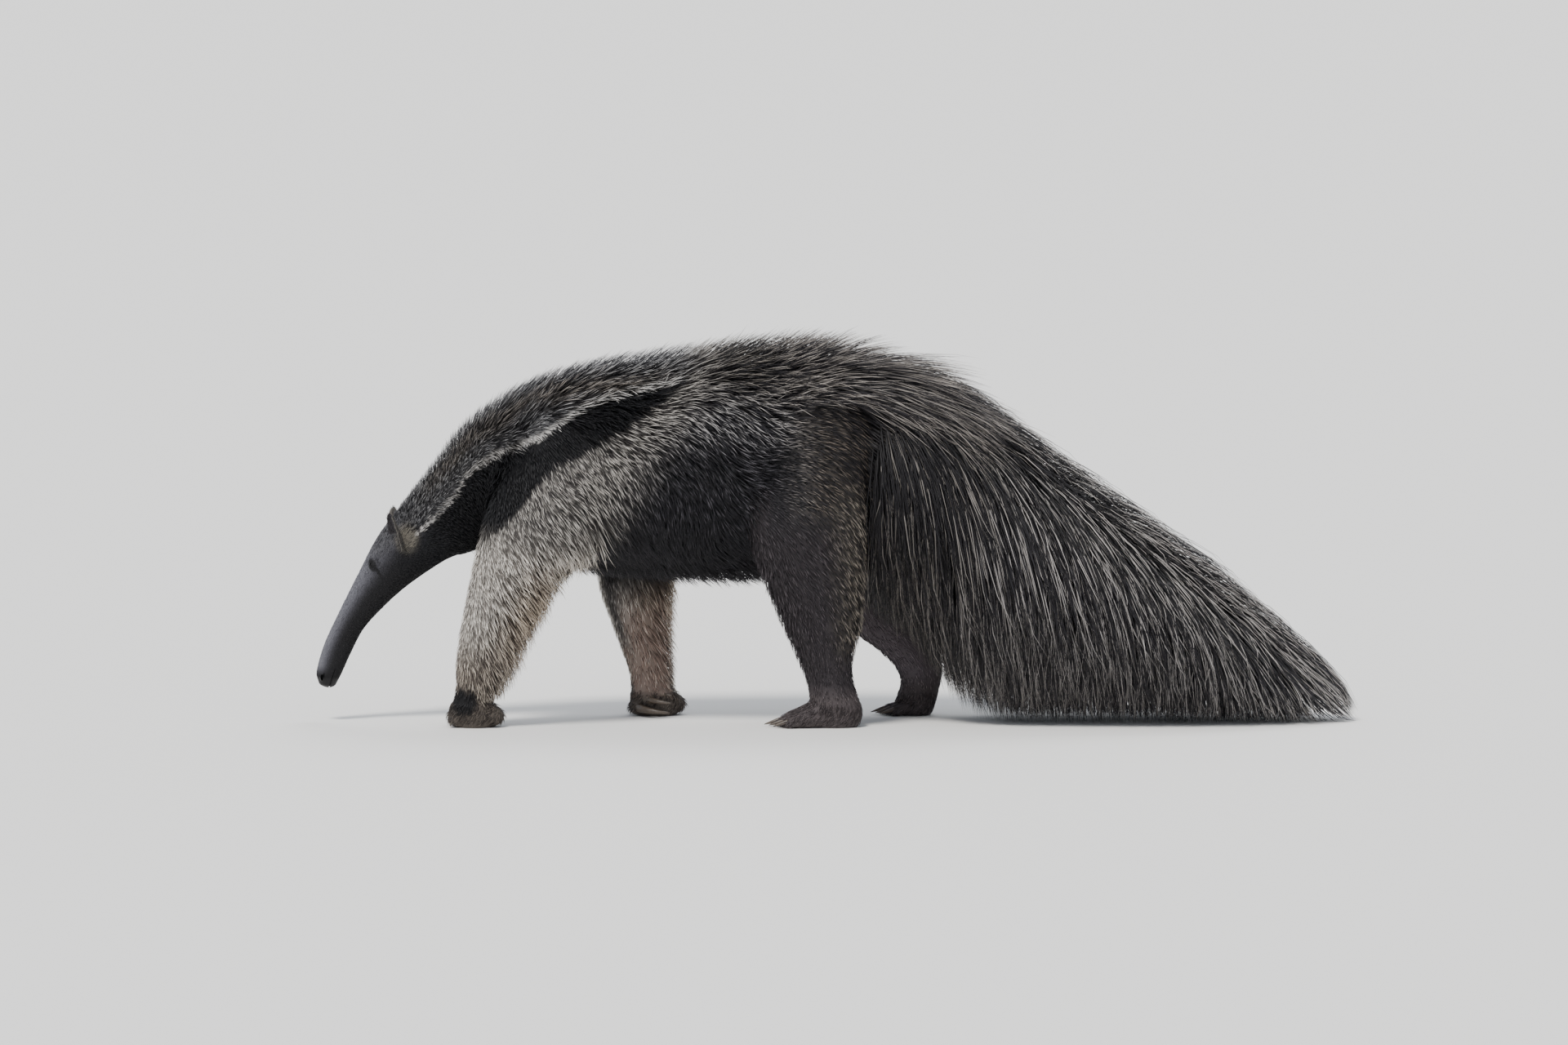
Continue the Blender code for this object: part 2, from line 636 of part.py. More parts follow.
def lips(head_object):
    """Upper and lower lip: a thin roll each, where the slit's plane meets the snout."""
    inner, forward, normal = mouth_frame()
    surface = BVHTree.FromPolygons(
        [v.co for v in head_object.data.vertices],
        [p.vertices for p in head_object.data.polygons],
    )
    rolls = []
    for level in (-1, 1):
        path, radii = [], []
        for k in range(LIP_POINTS):
            turn = math.radians(96) * (2 * k / (LIP_POINTS - 1) - 1)
            ray = forward * math.cos(turn) + np.array([0.0, math.sin(turn), 0.0])
            base = inner + normal * level * (MOUTH_GAP / 2 + LIP_RADIUS * 0.8)
            hit = surface.ray_cast(Vector(base), Vector(ray))[0]
            path.append(np.array(hit) - ray * LIP_RADIUS * 0.5)
            radii.append(LIP_RADIUS * (1.0 - 0.45 * abs(turn / math.radians(96)) ** 2))
        rolls.append(tube("lip", path, radii, 4))
    return rolls


def mouth_cutter():
    """A thin wedge, open at the tip of the snout."""
    inner, forward, normal = mouth_frame()
    half_y = np.array([0.0, 0.05, 0.0])
    outer = inner + forward * (MOUTH_LENGTH + 0.03)
    thin, wide = normal * MOUTH_GAP * 0.35, normal * MOUTH_GAP * 0.7
    near = [inner + half_y + thin, inner - half_y + thin]
    near += [inner - half_y - thin, inner + half_y - thin]
    far = [outer + half_y + wide, outer - half_y + wide]
    far += [outer - half_y - wide, outer + half_y - wide]
    return solid_of_rings("mouth", [near, far])


def nostril_cutters():
    """Two comma-shaped pits on the front of the nose."""
    head = trunk_coat()
    t = (head.place("nose_tip") + 2 * head.place("nose")) / 3
    pits = []
    for side in (1, -1):
        out = head.normal(t, side * NOSTRIL_ANGLE)
        along = head.along(t)
        along = unit(along - out * np.dot(along, out))
        axes = (out, np.cross(out, along), along)
        place = head.point(t, side * NOSTRIL_ANGLE)
        pits.append(ellipsoid("nostril", place, axes, NOSTRIL_SIZE, 6, 4))
    return pits


def make_head():
    head = trunk_coat()
    start, end = head.place("nose_tip"), head.place("poll")
    places = [start + distance for distance in NOSE_RINGS]
    places += list(np.linspace(start + 0.060, end + 0.01, 11))
    ahead, middle = -head.along(start), head.middle(start)
    tip = middle + ahead * NOSE_BULGE
    rings = [head.ring(t, 16) for t in places]
    blunt = [middle + (p - middle) * 0.62 for p in rings[0]]
    rings.insert(0, [p + ahead * NOSE_BULGE * 0.8 for p in blunt])
    obj = solid_of_rings("head", rings, tip)
    fuse(obj, [eyelids(1), eyelids(-1), *lips(obj)])
    sockets = []
    for side in (1, -1):
        centre, _ = eye_place(side)
        sockets.append(
            ellipsoid("socket", centre, eye_axes(side), [EYE_RADIUS + GAP] * 3, 10, 6)
        )
    return cut(obj, [*sockets, mouth_cutter(), *nostril_cutters(), seam(head, "poll", 1)])


def make_eye(name, side):
    centre, _ = eye_place(side)
    return ellipsoid(name, centre, eye_axes(side), [EYE_RADIUS] * 3, 10, 6)


def ear_frame(side):
    """Where the ear grows and its directions: up the ear, across it and out of its cup."""
    head = trunk_coat()
    root = head.point(head.place("ear") - EAR_BEFORE, side * EAR_ANGLE)
    rise = unit(np.array(EAR_RISE) * [1, side, 1])
    facing = unit(np.array(EAR_FACING) * [1, side, 1])
    facing = unit(facing - rise * np.dot(facing, rise))
    return root, rise, np.cross(rise, facing), facing


def make_ear(name, side):
    """A rounded leaf, cupped across, with its root sunk in the head and cut clear of it."""
    root, rise, across, facing = ear_frame(side)
    columns, levels = 5, 6
    fronts, backs = [], []
    for j in range(levels):
        v = j / (levels - 1)
        half = EAR_HALF_WIDTH * math.sin(math.pi * (0.22 + 0.66 * v)) ** 0.7
        for i in range(columns):
            u = 2 * i / (columns - 1) - 1
            height = -EAR_SUNK + (EAR_LENGTH + EAR_SUNK) * v - EAR_CORNER * u * u * v
            cup = EAR_CUP * (u * u - 1) * (1 - 0.55 * v)
            lean = -EAR_LEAN * v * v
            place = root + rise * height + across * half * u + facing * (cup + lean)
            normal = unit(facing - across * u * 0.9)
            fronts.append(place + normal * EAR_WALL / 2)
            backs.append(place - normal * EAR_WALL / 2)
    count = columns * levels
    faces = []
    for j in range(levels - 1):
        for i in range(columns - 1):
            a = j * columns + i
            quad = (a, a + 1, a + columns + 1, a + columns)
            faces.append(quad)
            faces.append(tuple(count + k for k in reversed(quad)))
    rim = [i for i in range(columns)]
    rim += [j * columns + columns - 1 for j in range(1, levels)]
    rim += [(levels - 1) * columns + i for i in range(columns - 2, -1, -1)]
    rim += [j * columns for j in range(levels - 2, 0, -1)]
    for a, b in zip(rim, rim[1:] + rim[:1]):
        faces.append((a, b, count + b, count + a))
    ear = add_object(name, fronts + backs, faces)
    head = trunk_coat()
    start, end = head.place("brow"), head.place("nape")
    return cut(ear, [head.solid("head", start, end, 7, 16, GAP * 3)])


def leg_sleeve(name, inset=CORE_SHARE):
    return Sleeve(LEGS[name], 0.0, inset)


def leg_fringe(name):
    """Rows of locks down the back of a foreleg, and down both edges of a hind leg."""
    core, coat = leg_sleeve(name), leg_sleeve(name, 0.0)
    if name.endswith("foreleg"):
        start, end = core.place("upper_arm") + 0.02, core.place("low_forearm") + 0.01
        edge = {"start": start, "end": end, "run": 0.095, "depth": 0.012, "arch": 0.06}
        rows = [
            {**edge, "count": 5, "angle": 180, "turn": 0, "width": 0.056},
            {**edge, "count": 3, "angle": 150, "turn": 8, "width": 0.064, "stagger": 1},
        ]
    else:
        start, end = core.place("stifle") - 0.03, core.place("low_shank") - 0.02
        edge = {"start": start, "end": end, "run": 0.050, "depth": 0.010, "arch": 0.05,
                "steps": 3}
        rows = [{**edge, "count": 3, "angle": 0, "turn": 0, "width": 0.046}]
        if name == "left_hindleg":
            rows.append({**edge, "count": 3, "angle": 180, "turn": 0, "width": 0.046})
    return coat_locks(core, coat, rows, 21)


def leg_core(name, grow=0.0):
    core = leg_sleeve(name)
    return core.solid(name, 0.0, core.place(LEG_FOOT_SEAM[name]) - GAP / 2, 9, 12, grow)


def make_leg(name):
    """A leg down to the seam with its foot, cut clear of the body."""
    core, leg = leg_sleeve(name), leg_core(name)
    fuse(leg, leg_fringe(name))
    cutters = [torso_core(GAP)]
    if name.endswith("foreleg"):
        cutters.append(neck_core(GAP))
    seam_t = core.place(LEG_FOOT_SEAM[name])
    down = unit(np.cross([0.0, 1.0, 0.0], core.up(seam_t)))
    down = down if down[2] < 0 else -down
    cutters.append(half_space(core.middle(seam_t) - down * GAP / 2, down))
    return cut(leg, cutters)


def arc(start, forward, inward, first, last, length, fall, steps):
    """Points of a flat curve whose heading turns from first to last, in degrees."""
    points, place = [start], start
    for i in range(steps):
        turn = math.radians(first + (last - first) * (i + 0.5) / steps)
        step = forward * math.cos(turn) + inward * math.sin(turn)
        place = place + (step + np.array([0.0, 0.0, -fall])) * length / steps
        points.append(place)
    return points


def digit_plan(name):
    """For each digit: its knuckle, the end of its flesh, its radius, its claw's path and root."""
    foot = leg_sleeve(name)
    side = 1 if name.startswith("right") else -1
    inward = np.array([0.0, -side, 0.0])
    forward = np.array([-1.0, 0.0, 0.0])
    sole = foot.middle(foot.knots[-1])
    plan = []
    if name.endswith("foreleg"):
        for ahead, within, high, flesh, first, last, length, radius in FORE_DIGITS:
            knuckle = sole + forward * ahead + inward * within + np.array([0, 0, high])
            end = knuckle + inward * flesh * 0.3
            path = arc(end, forward, inward, first, last, length, FORE_CLAW_FALL, 5)
            plan.append((knuckle, end, flesh, path, radius))
        return plan
    for k in range(HIND_TOES):
        share = k / (HIND_TOES - 1) - 0.5
        reach = HIND_REACH[name] - 0.016 * abs(share) * 2
        across = inward * HIND_SPREAD * share
        rise, end_rise = np.array([[0, 0, high] for high in HIND_TOE_RISE])
        knuckle = sole + forward * (reach - HIND_TOE_LENGTH) + across + rise
        end = sole + forward * reach + across * 1.08 + end_rise
        start = end + forward * 0.002 + np.array([0, 0, 0.002])
        splay = 4 * share
        path = arc(
            start, forward, inward, splay, splay, HIND_CLAW_LENGTH, HIND_CLAW_FALL, 3
        )
        plan.append((knuckle, end, HIND_TOE_RADIUS, path, HIND_CLAW_RADIUS))
    return plan


def make_claws(name, grow=0.0):
    """Each claw is a solid of its own, a tapering curved horn."""
    claws = []
    for k, (_, _, _, path, radius) in enumerate(digit_plan(name)):
        last = len(path) - 1
        radii = [radius * (1 - 0.80 * (i / last) ** 1.3) + grow for i in range(last + 1)]
        reach = unit(path[-1] - path[-2]) * radius * 0.6
        path = [path[0] - unit(path[1] - path[0]) * grow, *path[1:-1], path[-1] + reach]
        sides = 5 if name.endswith("foreleg") else 4
        claws.append(tube(f"{name.replace('leg', 'claw')}_{k + 1}", path, radii, sides))
    return claws


def make_foot(name, grow=0.0):
    """The foot from the seam down to its sole, with the flesh of its digits."""
    core = leg_sleeve(name)
    start, end = core.place(LEG_FOOT_SEAM[name]), core.knots[-1]
    places = [start + GAP / 2 - grow, *np.linspace(start + 0.014, end, 3)]
    rings = [core.ring(t, 12, grow) for t in places]
    foot = solid_of_rings(name.replace("leg", "foot"), rings)
    pieces = []
    for knuckle, tip, radius, _, _ in digit_plan(name):
        along = unit(tip - knuckle)
        side = unit(np.cross(along, [0.0, 0.0, 1.0]))
        axes = (side, np.cross(side, along), along)
        half = np.linalg.norm(tip - knuckle) / 2 + radius * 0.9
        radii = (radius + grow, radius + grow, half + grow)
        pieces.append(ellipsoid("toe", (knuckle + tip) / 2, axes, radii, 6, 4))
    if name == "left_hindleg":
        pieces.append(instep(core, grow))
    fuse(foot, pieces)
    square = unit(np.cross([0.0, 1.0, 0.0], core.up(start)))
    square = square if square[2] > 0 else -square
    cutters = [
        half_space((0, 0, 0), (0, 0, -1)),
        half_space(core.middle(start) - square * (GAP / 2 - grow), square),
    ]
    return cut(foot, cutters + ([] if grow else make_claws(name, GAP)))


def instep(core, grow):
    """The flat front of a hind foot that stands on its whole sole."""
    sole = core.middle(core.knots[-1])
    rings = []
    for reach, high, half in INSTEP:
        middle = sole + np.array([-reach, 0.0, high / 2 - SOLE_SUNK])
        ring = []
        for k in range(10):
            turn = 2 * math.pi * k / 10
            wide = (half + grow) * math.sin(turn)
            tall = (high / 2 + SOLE_SUNK + grow) * math.cos(turn)
            ring.append(middle + np.array([0.0, wide, tall]))
        rings.append(ring)
    return solid_of_rings("instep", rings)


def make_tail():
    core = Sleeve(TAIL_CORE, TAIL_CORE_EGG, by_x=True)
    coat = Sleeve(TAIL_COAT, TAIL_COAT_EGG, by_x=True)
    start, end = core.knots[0], core.knots[-1]
    tail = core.solid("tail", start, end, 11, 14)
    first = TAIL_SEAM_X + 0.004
    tier = {"start": first, "end": end - 0.01, "depth": 0.016, "steps": 5}
    rows = [
        {**tier, "count": 10, "angle": 0, "turn": 0, "run": 0.120, "width": 0.058, "steps": 4},
        {**tier, "count": 8, "angle": 26, "turn": 34, "run": 0.110, "width": 0.076,
         "stagger": 1, "arch": 0.12},
        {**tier, "count": 9, "angle": 58, "turn": 52, "run": 0.085, "width": 0.080,
         "arch": 0.14},
        {**tier, "count": 10, "angle": 92, "turn": 46, "run": 0.060, "width": 0.084,
         "stagger": 1, "arch": 0.13},
        {**tier, "count": 9, "angle": 128, "turn": 36, "run": 0.045, "width": 0.084,
         "arch": 0.08},
    ]
    locks = coat_locks(core, coat, rows, 31)
    locks += tail_brush(core, coat)
    locks += back_locks(TAIL_SEAM_X)
    fuse(tail, locks)
    cutters = [
        half_space((TAIL_SEAM_X + GAP / 2, 0, 0), (-1, 0, 0)),
        half_space((0, 0, 0), (0, 0, -1)),
    ]
    for name in ("left_hindleg", "right_hindleg"):
        cutters.append(leg_core(name, GAP))
    cutters.append(make_foot("right_hindleg", GAP))
    return cut(tail, cutters)


def tail_brush(core, coat):
    """The fan of locks that ends the tail."""
    last = core.knots[-1]
    locks = []
    for k, angle in enumerate((0, 75, -75, 180)):
        start = last - 0.020
        end = coat.knots[-1] - 0.010 * (k % 3)
        locks.append(
            hair_lock(
                core.point(start, angle),
                coat.point(end, angle),
                core.normal(start, angle),
                core.normal(start, angle),
                0.06,
                0.040,
                0.012,
                4,
            )
        )
    return locks


def paint(obj, finish):
    colour, rough = COLOURS[finish]
    material = bpy.data.materials.new(f"{obj.name}_{finish}")
    material.use_nodes = True
    shader = material.node_tree.nodes["Principled BSDF"]
    shader.inputs["Base Color"].default_value = (*colour, 1.0)
    shader.inputs["Roughness"].default_value = rough
    shader.inputs["Metallic"].default_value = 0.0
    obj.data.materials.clear()
    obj.data.materials.append(material)
    for polygon in obj.data.polygons:
        polygon.material_index = 0
    obj.data.shade_smooth()
    obj.data.set_sharp_from_angle(angle=math.radians(50))


def centre_on_floor(objects):
    """Moves the origin to the floor under the middle of the whole animal."""
    corners = np.array([v.co for obj in objects for v in obj.data.vertices])
    middle = (corners.min(axis=0) + corners.max(axis=0)) / 2
    for obj in objects:
        obj.location = (-middle[0], -middle[1], 0.0)


def main():
    for obj in list(bpy.data.objects):
        bpy.data.objects.remove(obj)
    made = [
        (make_torso(), "long_hair"),
        (make_neck(), "short_fur"),
        (make_head(), "short_fur"),
        (make_tail(), "long_hair"),
    ]
    for label, side in (("left", -1), ("right", 1)):
        made.append((make_eye(f"{label}_eye", side), "eye"))
        made.append((make_ear(f"{label}_ear", side), "short_fur"))
    for name in LEGS:
        fur = "pale_fur" if name.endswith("foreleg") else "dark_fur"
        made.append((make_leg(name), fur))
        made.append((make_foot(name), fur))
        made += [(claw, "horn") for claw in make_claws(name)]
    for obj, finish in made:
        paint(obj, finish)
    centre_on_floor([obj for obj, _ in made])


main()
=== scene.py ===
import math

import bpy
import numpy as np
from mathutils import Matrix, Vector
from mathutils.bvhtree import BVHTree
from mathutils.kdtree import KDTree


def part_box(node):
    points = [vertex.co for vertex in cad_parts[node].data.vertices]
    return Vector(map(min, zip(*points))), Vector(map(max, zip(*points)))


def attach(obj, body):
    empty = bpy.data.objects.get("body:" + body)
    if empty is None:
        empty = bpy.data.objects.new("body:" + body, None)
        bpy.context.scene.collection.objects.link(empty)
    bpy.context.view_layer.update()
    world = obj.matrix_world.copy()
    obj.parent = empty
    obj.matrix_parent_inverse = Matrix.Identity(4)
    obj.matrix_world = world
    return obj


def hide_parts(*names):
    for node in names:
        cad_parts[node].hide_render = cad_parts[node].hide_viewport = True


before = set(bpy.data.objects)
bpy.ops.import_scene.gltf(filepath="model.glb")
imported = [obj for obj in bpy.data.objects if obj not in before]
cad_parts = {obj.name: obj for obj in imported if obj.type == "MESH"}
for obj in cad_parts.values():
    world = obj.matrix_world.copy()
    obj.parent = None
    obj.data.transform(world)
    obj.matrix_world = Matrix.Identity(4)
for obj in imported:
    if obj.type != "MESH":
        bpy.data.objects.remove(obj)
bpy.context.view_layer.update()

# The tables below are in metres with the animal facing -X, its left side at -Y and the soles at
# z = 0. The frame's own middle is elsewhere, so every mesh is moved by home.
tailSeamX = 0.1642
home = np.array([
    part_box("tail")[0].x - tailSeamX,
    (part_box("left_eye")[0].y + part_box("right_eye")[1].y) / 2,
    0.0,
])

# Each station: front or top edge (x, z), back or low edge (x, z), y of the middle, half width,
# then how deep the coat lies over the skin at the first edge, the second edge and the sides.
trunkStations = {
    "noseTip": (-0.828, 0.068, -0.797, 0.064, 0.0, 0.0140, 0.0003, 0.0003, 0.0003),
    "nose": (-0.832, 0.086, -0.787, 0.083, 0.0, 0.0190, 0.0005, 0.0005, 0.0005),
    "muzzle": (-0.819, 0.136, -0.768, 0.123, 0.0, 0.021, 0.0014, 0.0014, 0.0014),
    "midSnout": (-0.796, 0.187, -0.745, 0.165, 0.0, 0.025, 0.0018, 0.0018, 0.0018),
    "snoutRoot": (-0.771, 0.238, -0.706, 0.207, 0.0, 0.031, 0.0020, 0.0020, 0.0020),
    "eye": (-0.753, 0.274, -0.670, 0.239, 0.0, 0.038, 0.0024, 0.0022, 0.0022),
    "brow": (-0.731, 0.318, -0.626, 0.270, 0.0, 0.046, 0.0030, 0.0026, 0.0028),
    "ear": (-0.710, 0.352, -0.592, 0.290, 0.0, 0.054, 0.0045, 0.0030, 0.0036),
    "poll": (-0.679, 0.394, -0.555, 0.302, 0.0, 0.063, 0.0110, 0.0040, 0.0060),
    "nape": (-0.623, 0.467, -0.512, 0.313, 0.0, 0.078, 0.0180, 0.0060, 0.0090),
    "neckBase": (-0.566, 0.539, -0.470, 0.304, 0.0, 0.098, 0.0240, 0.0080, 0.0110),
    "withers": (-0.478, 0.600, -0.406, 0.284, 0.0, 0.120, 0.0300, 0.0100, 0.0120),
    "shoulder": (-0.362, 0.644, -0.322, 0.267, 0.0, 0.138, 0.0340, 0.0120, 0.0130),
    "midBack": (-0.232, 0.668, -0.220, 0.255, 0.0, 0.150, 0.0400, 0.0220, 0.0140),
    "loin": (-0.101, 0.690, -0.109, 0.249, 0.0, 0.156, 0.0520, 0.0220, 0.0150),
    "hips": (0.014, 0.703, -0.007, 0.255, 0.0, 0.152, 0.0620, 0.0180, 0.0160),
    "rump": (0.101, 0.695, 0.090, 0.281, 0.0, 0.136, 0.0620, 0.0100, 0.0180),
    "tailRoot": (0.170, 0.679, 0.170, 0.345, 0.0, 0.110, 0.0600, 0.0100, 0.0180),
    "dock": (0.262, 0.630, 0.262, 0.330, 0.0, 0.096, 0.0600, 0.0100, 0.0200),
}
tailCoatStations = {
    "root": (0.150, 0.684, 0.150, 0.190, 0.0, 0.118),
    "overThigh": (0.232, 0.650, 0.232, 0.135, 0.0, 0.132),
    "behindLeg": (0.297, 0.608, 0.297, 0.050, 0.0, 0.140),
    "upper": (0.391, 0.538, 0.391, -0.004, 0.0, 0.146),
    "middle": (0.493, 0.455, 0.493, -0.004, 0.0, 0.150),
    "lower": (0.609, 0.380, 0.609, -0.004, 0.0, 0.148),
    "drag": (0.725, 0.293, 0.725, -0.004, 0.0, 0.136),
    "brush": (0.841, 0.202, 0.841, -0.004, 0.0, 0.112),
    "brushEnd": (0.928, 0.107, 0.928, -0.004, 0.0, 0.072),
    "tip": (1.006, 0.016, 1.006, -0.002, 0.0, 0.014),
}
tailSkinStations = {
    "root": (0.140, 0.600, 0.140, 0.372, 0.0, 0.082),
    "dock": (0.190, 0.594, 0.190, 0.376, 0.0, 0.076),
    "overThigh": (0.236, 0.578, 0.236, 0.366, 0.0, 0.068),
    "behindLeg": (0.297, 0.548, 0.297, 0.330, 0.0, 0.060),
    "upper": (0.391, 0.486, 0.391, 0.272, 0.0, 0.052),
    "middle": (0.493, 0.406, 0.493, 0.222, 0.0, 0.048),
    "lower": (0.609, 0.330, 0.609, 0.176, 0.0, 0.043),
    "drag": (0.725, 0.246, 0.725, 0.126, 0.0, 0.036),
    "brush": (0.841, 0.156, 0.841, 0.074, 0.0, 0.025),
    "brushEnd": (0.905, 0.084, 0.905, 0.036, 0.0, 0.012),
}
legStations = {
    "leftForeleg": {
        "top": (-0.415, 0.590, -0.295, 0.560, -0.045, 0.030, 0.004, 0.004, 0.006),
        "shoulder": (-0.462, 0.525, -0.277, 0.480, -0.080, 0.054, 0.007, 0.010, 0.010),
        "upperArm": (-0.528, 0.390, -0.312, 0.325, -0.102, 0.064, 0.009, 0.034, 0.011),
        "elbow": (-0.551, 0.303, -0.360, 0.267, -0.106, 0.062, 0.009, 0.054, 0.011),
        "forearm": (-0.564, 0.238, -0.389, 0.213, -0.105, 0.056, 0.008, 0.060, 0.010),
        "midForearm": (-0.577, 0.165, -0.429, 0.151, -0.102, 0.050, 0.007, 0.054, 0.009),
        "lowForearm": (-0.583, 0.107, -0.470, 0.088, -0.098, 0.043, 0.005, 0.034, 0.007),
        "wrist": (-0.582, 0.062, -0.513, 0.045, -0.095, 0.037, 0.003, 0.008, 0.004),
        "palm": (-0.594, 0.026, -0.503, 0.022, -0.095, 0.041, 0.002, 0.002, 0.002),
        "sole": (-0.584, 0.0, -0.509, 0.0, -0.095, 0.033, 0.001, 0.001, 0.001),
    },
    "rightForeleg": {
        "top": (-0.400, 0.584, -0.280, 0.555, 0.045, 0.030, 0.004, 0.004, 0.006),
        "shoulder": (-0.447, 0.518, -0.263, 0.466, 0.080, 0.054, 0.007, 0.010, 0.010),
        "upperArm": (-0.391, 0.405, -0.189, 0.347, 0.100, 0.062, 0.009, 0.024, 0.011),
        "elbow": (-0.348, 0.296, -0.171, 0.274, 0.104, 0.058, 0.009, 0.038, 0.011),
        "forearm": (-0.333, 0.223, -0.177, 0.209, 0.103, 0.052, 0.008, 0.038, 0.010),
        "midForearm": (-0.307, 0.151, -0.186, 0.141, 0.100, 0.046, 0.007, 0.032, 0.008),
        "lowForearm": (-0.284, 0.093, -0.191, 0.083, 0.097, 0.040, 0.005, 0.018, 0.006),
        "wrist": (-0.275, 0.058, -0.194, 0.049, 0.095, 0.036, 0.003, 0.006, 0.004),
        "palm": (-0.276, 0.025, -0.186, 0.021, 0.095, 0.040, 0.002, 0.002, 0.002),
        "sole": (-0.266, 0.0, -0.192, 0.0, 0.095, 0.032, 0.001, 0.001, 0.001),
    },
    "leftHindleg": {
        "top": (-0.030, 0.610, 0.100, 0.625, -0.040, 0.030, 0.004, 0.004, 0.006),
        "haunch": (-0.062, 0.530, 0.128, 0.556, -0.084, 0.051, 0.008, 0.010, 0.010),
        "thigh": (-0.078, 0.398, 0.150, 0.412, -0.110, 0.062, 0.008, 0.012, 0.009),
        "stifle": (-0.057, 0.293, 0.154, 0.276, -0.111, 0.060, 0.014, 0.018, 0.008),
        "shank": (-0.022, 0.209, 0.146, 0.184, -0.108, 0.050, 0.014, 0.016, 0.006),
        "lowShank": (0.009, 0.144, 0.125, 0.125, -0.104, 0.040, 0.010, 0.006, 0.004),
        "ankle": (0.038, 0.082, 0.125, 0.078, -0.100, 0.035, 0.003, 0.003, 0.003),
        "heel": (0.044, 0.036, 0.140, 0.028, -0.100, 0.037, 0.002, 0.002, 0.002),
        "sole": (0.044, 0.0, 0.132, 0.0, -0.100, 0.029, 0.001, 0.001, 0.001),
    },
    "rightHindleg": {
        "top": (-0.025, 0.604, 0.100, 0.618, 0.040, 0.030, 0.004, 0.004, 0.006),
        "haunch": (-0.051, 0.521, 0.126, 0.550, 0.084, 0.051, 0.008, 0.010, 0.010),
        "thigh": (-0.051, 0.390, 0.148, 0.390, 0.110, 0.060, 0.008, 0.008, 0.009),
        "stifle": (0.000, 0.274, 0.172, 0.312, 0.110, 0.056, 0.006, 0.008, 0.007),
        "shank": (0.065, 0.199, 0.196, 0.252, 0.106, 0.046, 0.008, 0.006, 0.005),
        "lowShank": (0.131, 0.141, 0.232, 0.187, 0.103, 0.039, 0.004, 0.004, 0.004),
        "ankle": (0.184, 0.100, 0.273, 0.136, 0.101, 0.034, 0.003, 0.003, 0.003),
        "heel": (0.207, 0.066, 0.284, 0.080, 0.100, 0.033, 0.002, 0.002, 0.002),
        "ball": (0.200, 0.024, 0.274, 0.028, 0.100, 0.037, 0.002, 0.002, 0.002),
        "sole": (0.204, 0.0, 0.264, 0.0, 0.100, 0.031, 0.001, 0.001, 0.001),
    },
}


def unit(v):
    return v / np.linalg.norm(v, axis=-1, keepdims=True)


def smooth(value, low, high):
    # 0 at low, 1 at high, smooth between; low may be above high
    u = np.clip((value - low) / (high - low), 0, 1)
    return u * u * (3 - 2 * u)


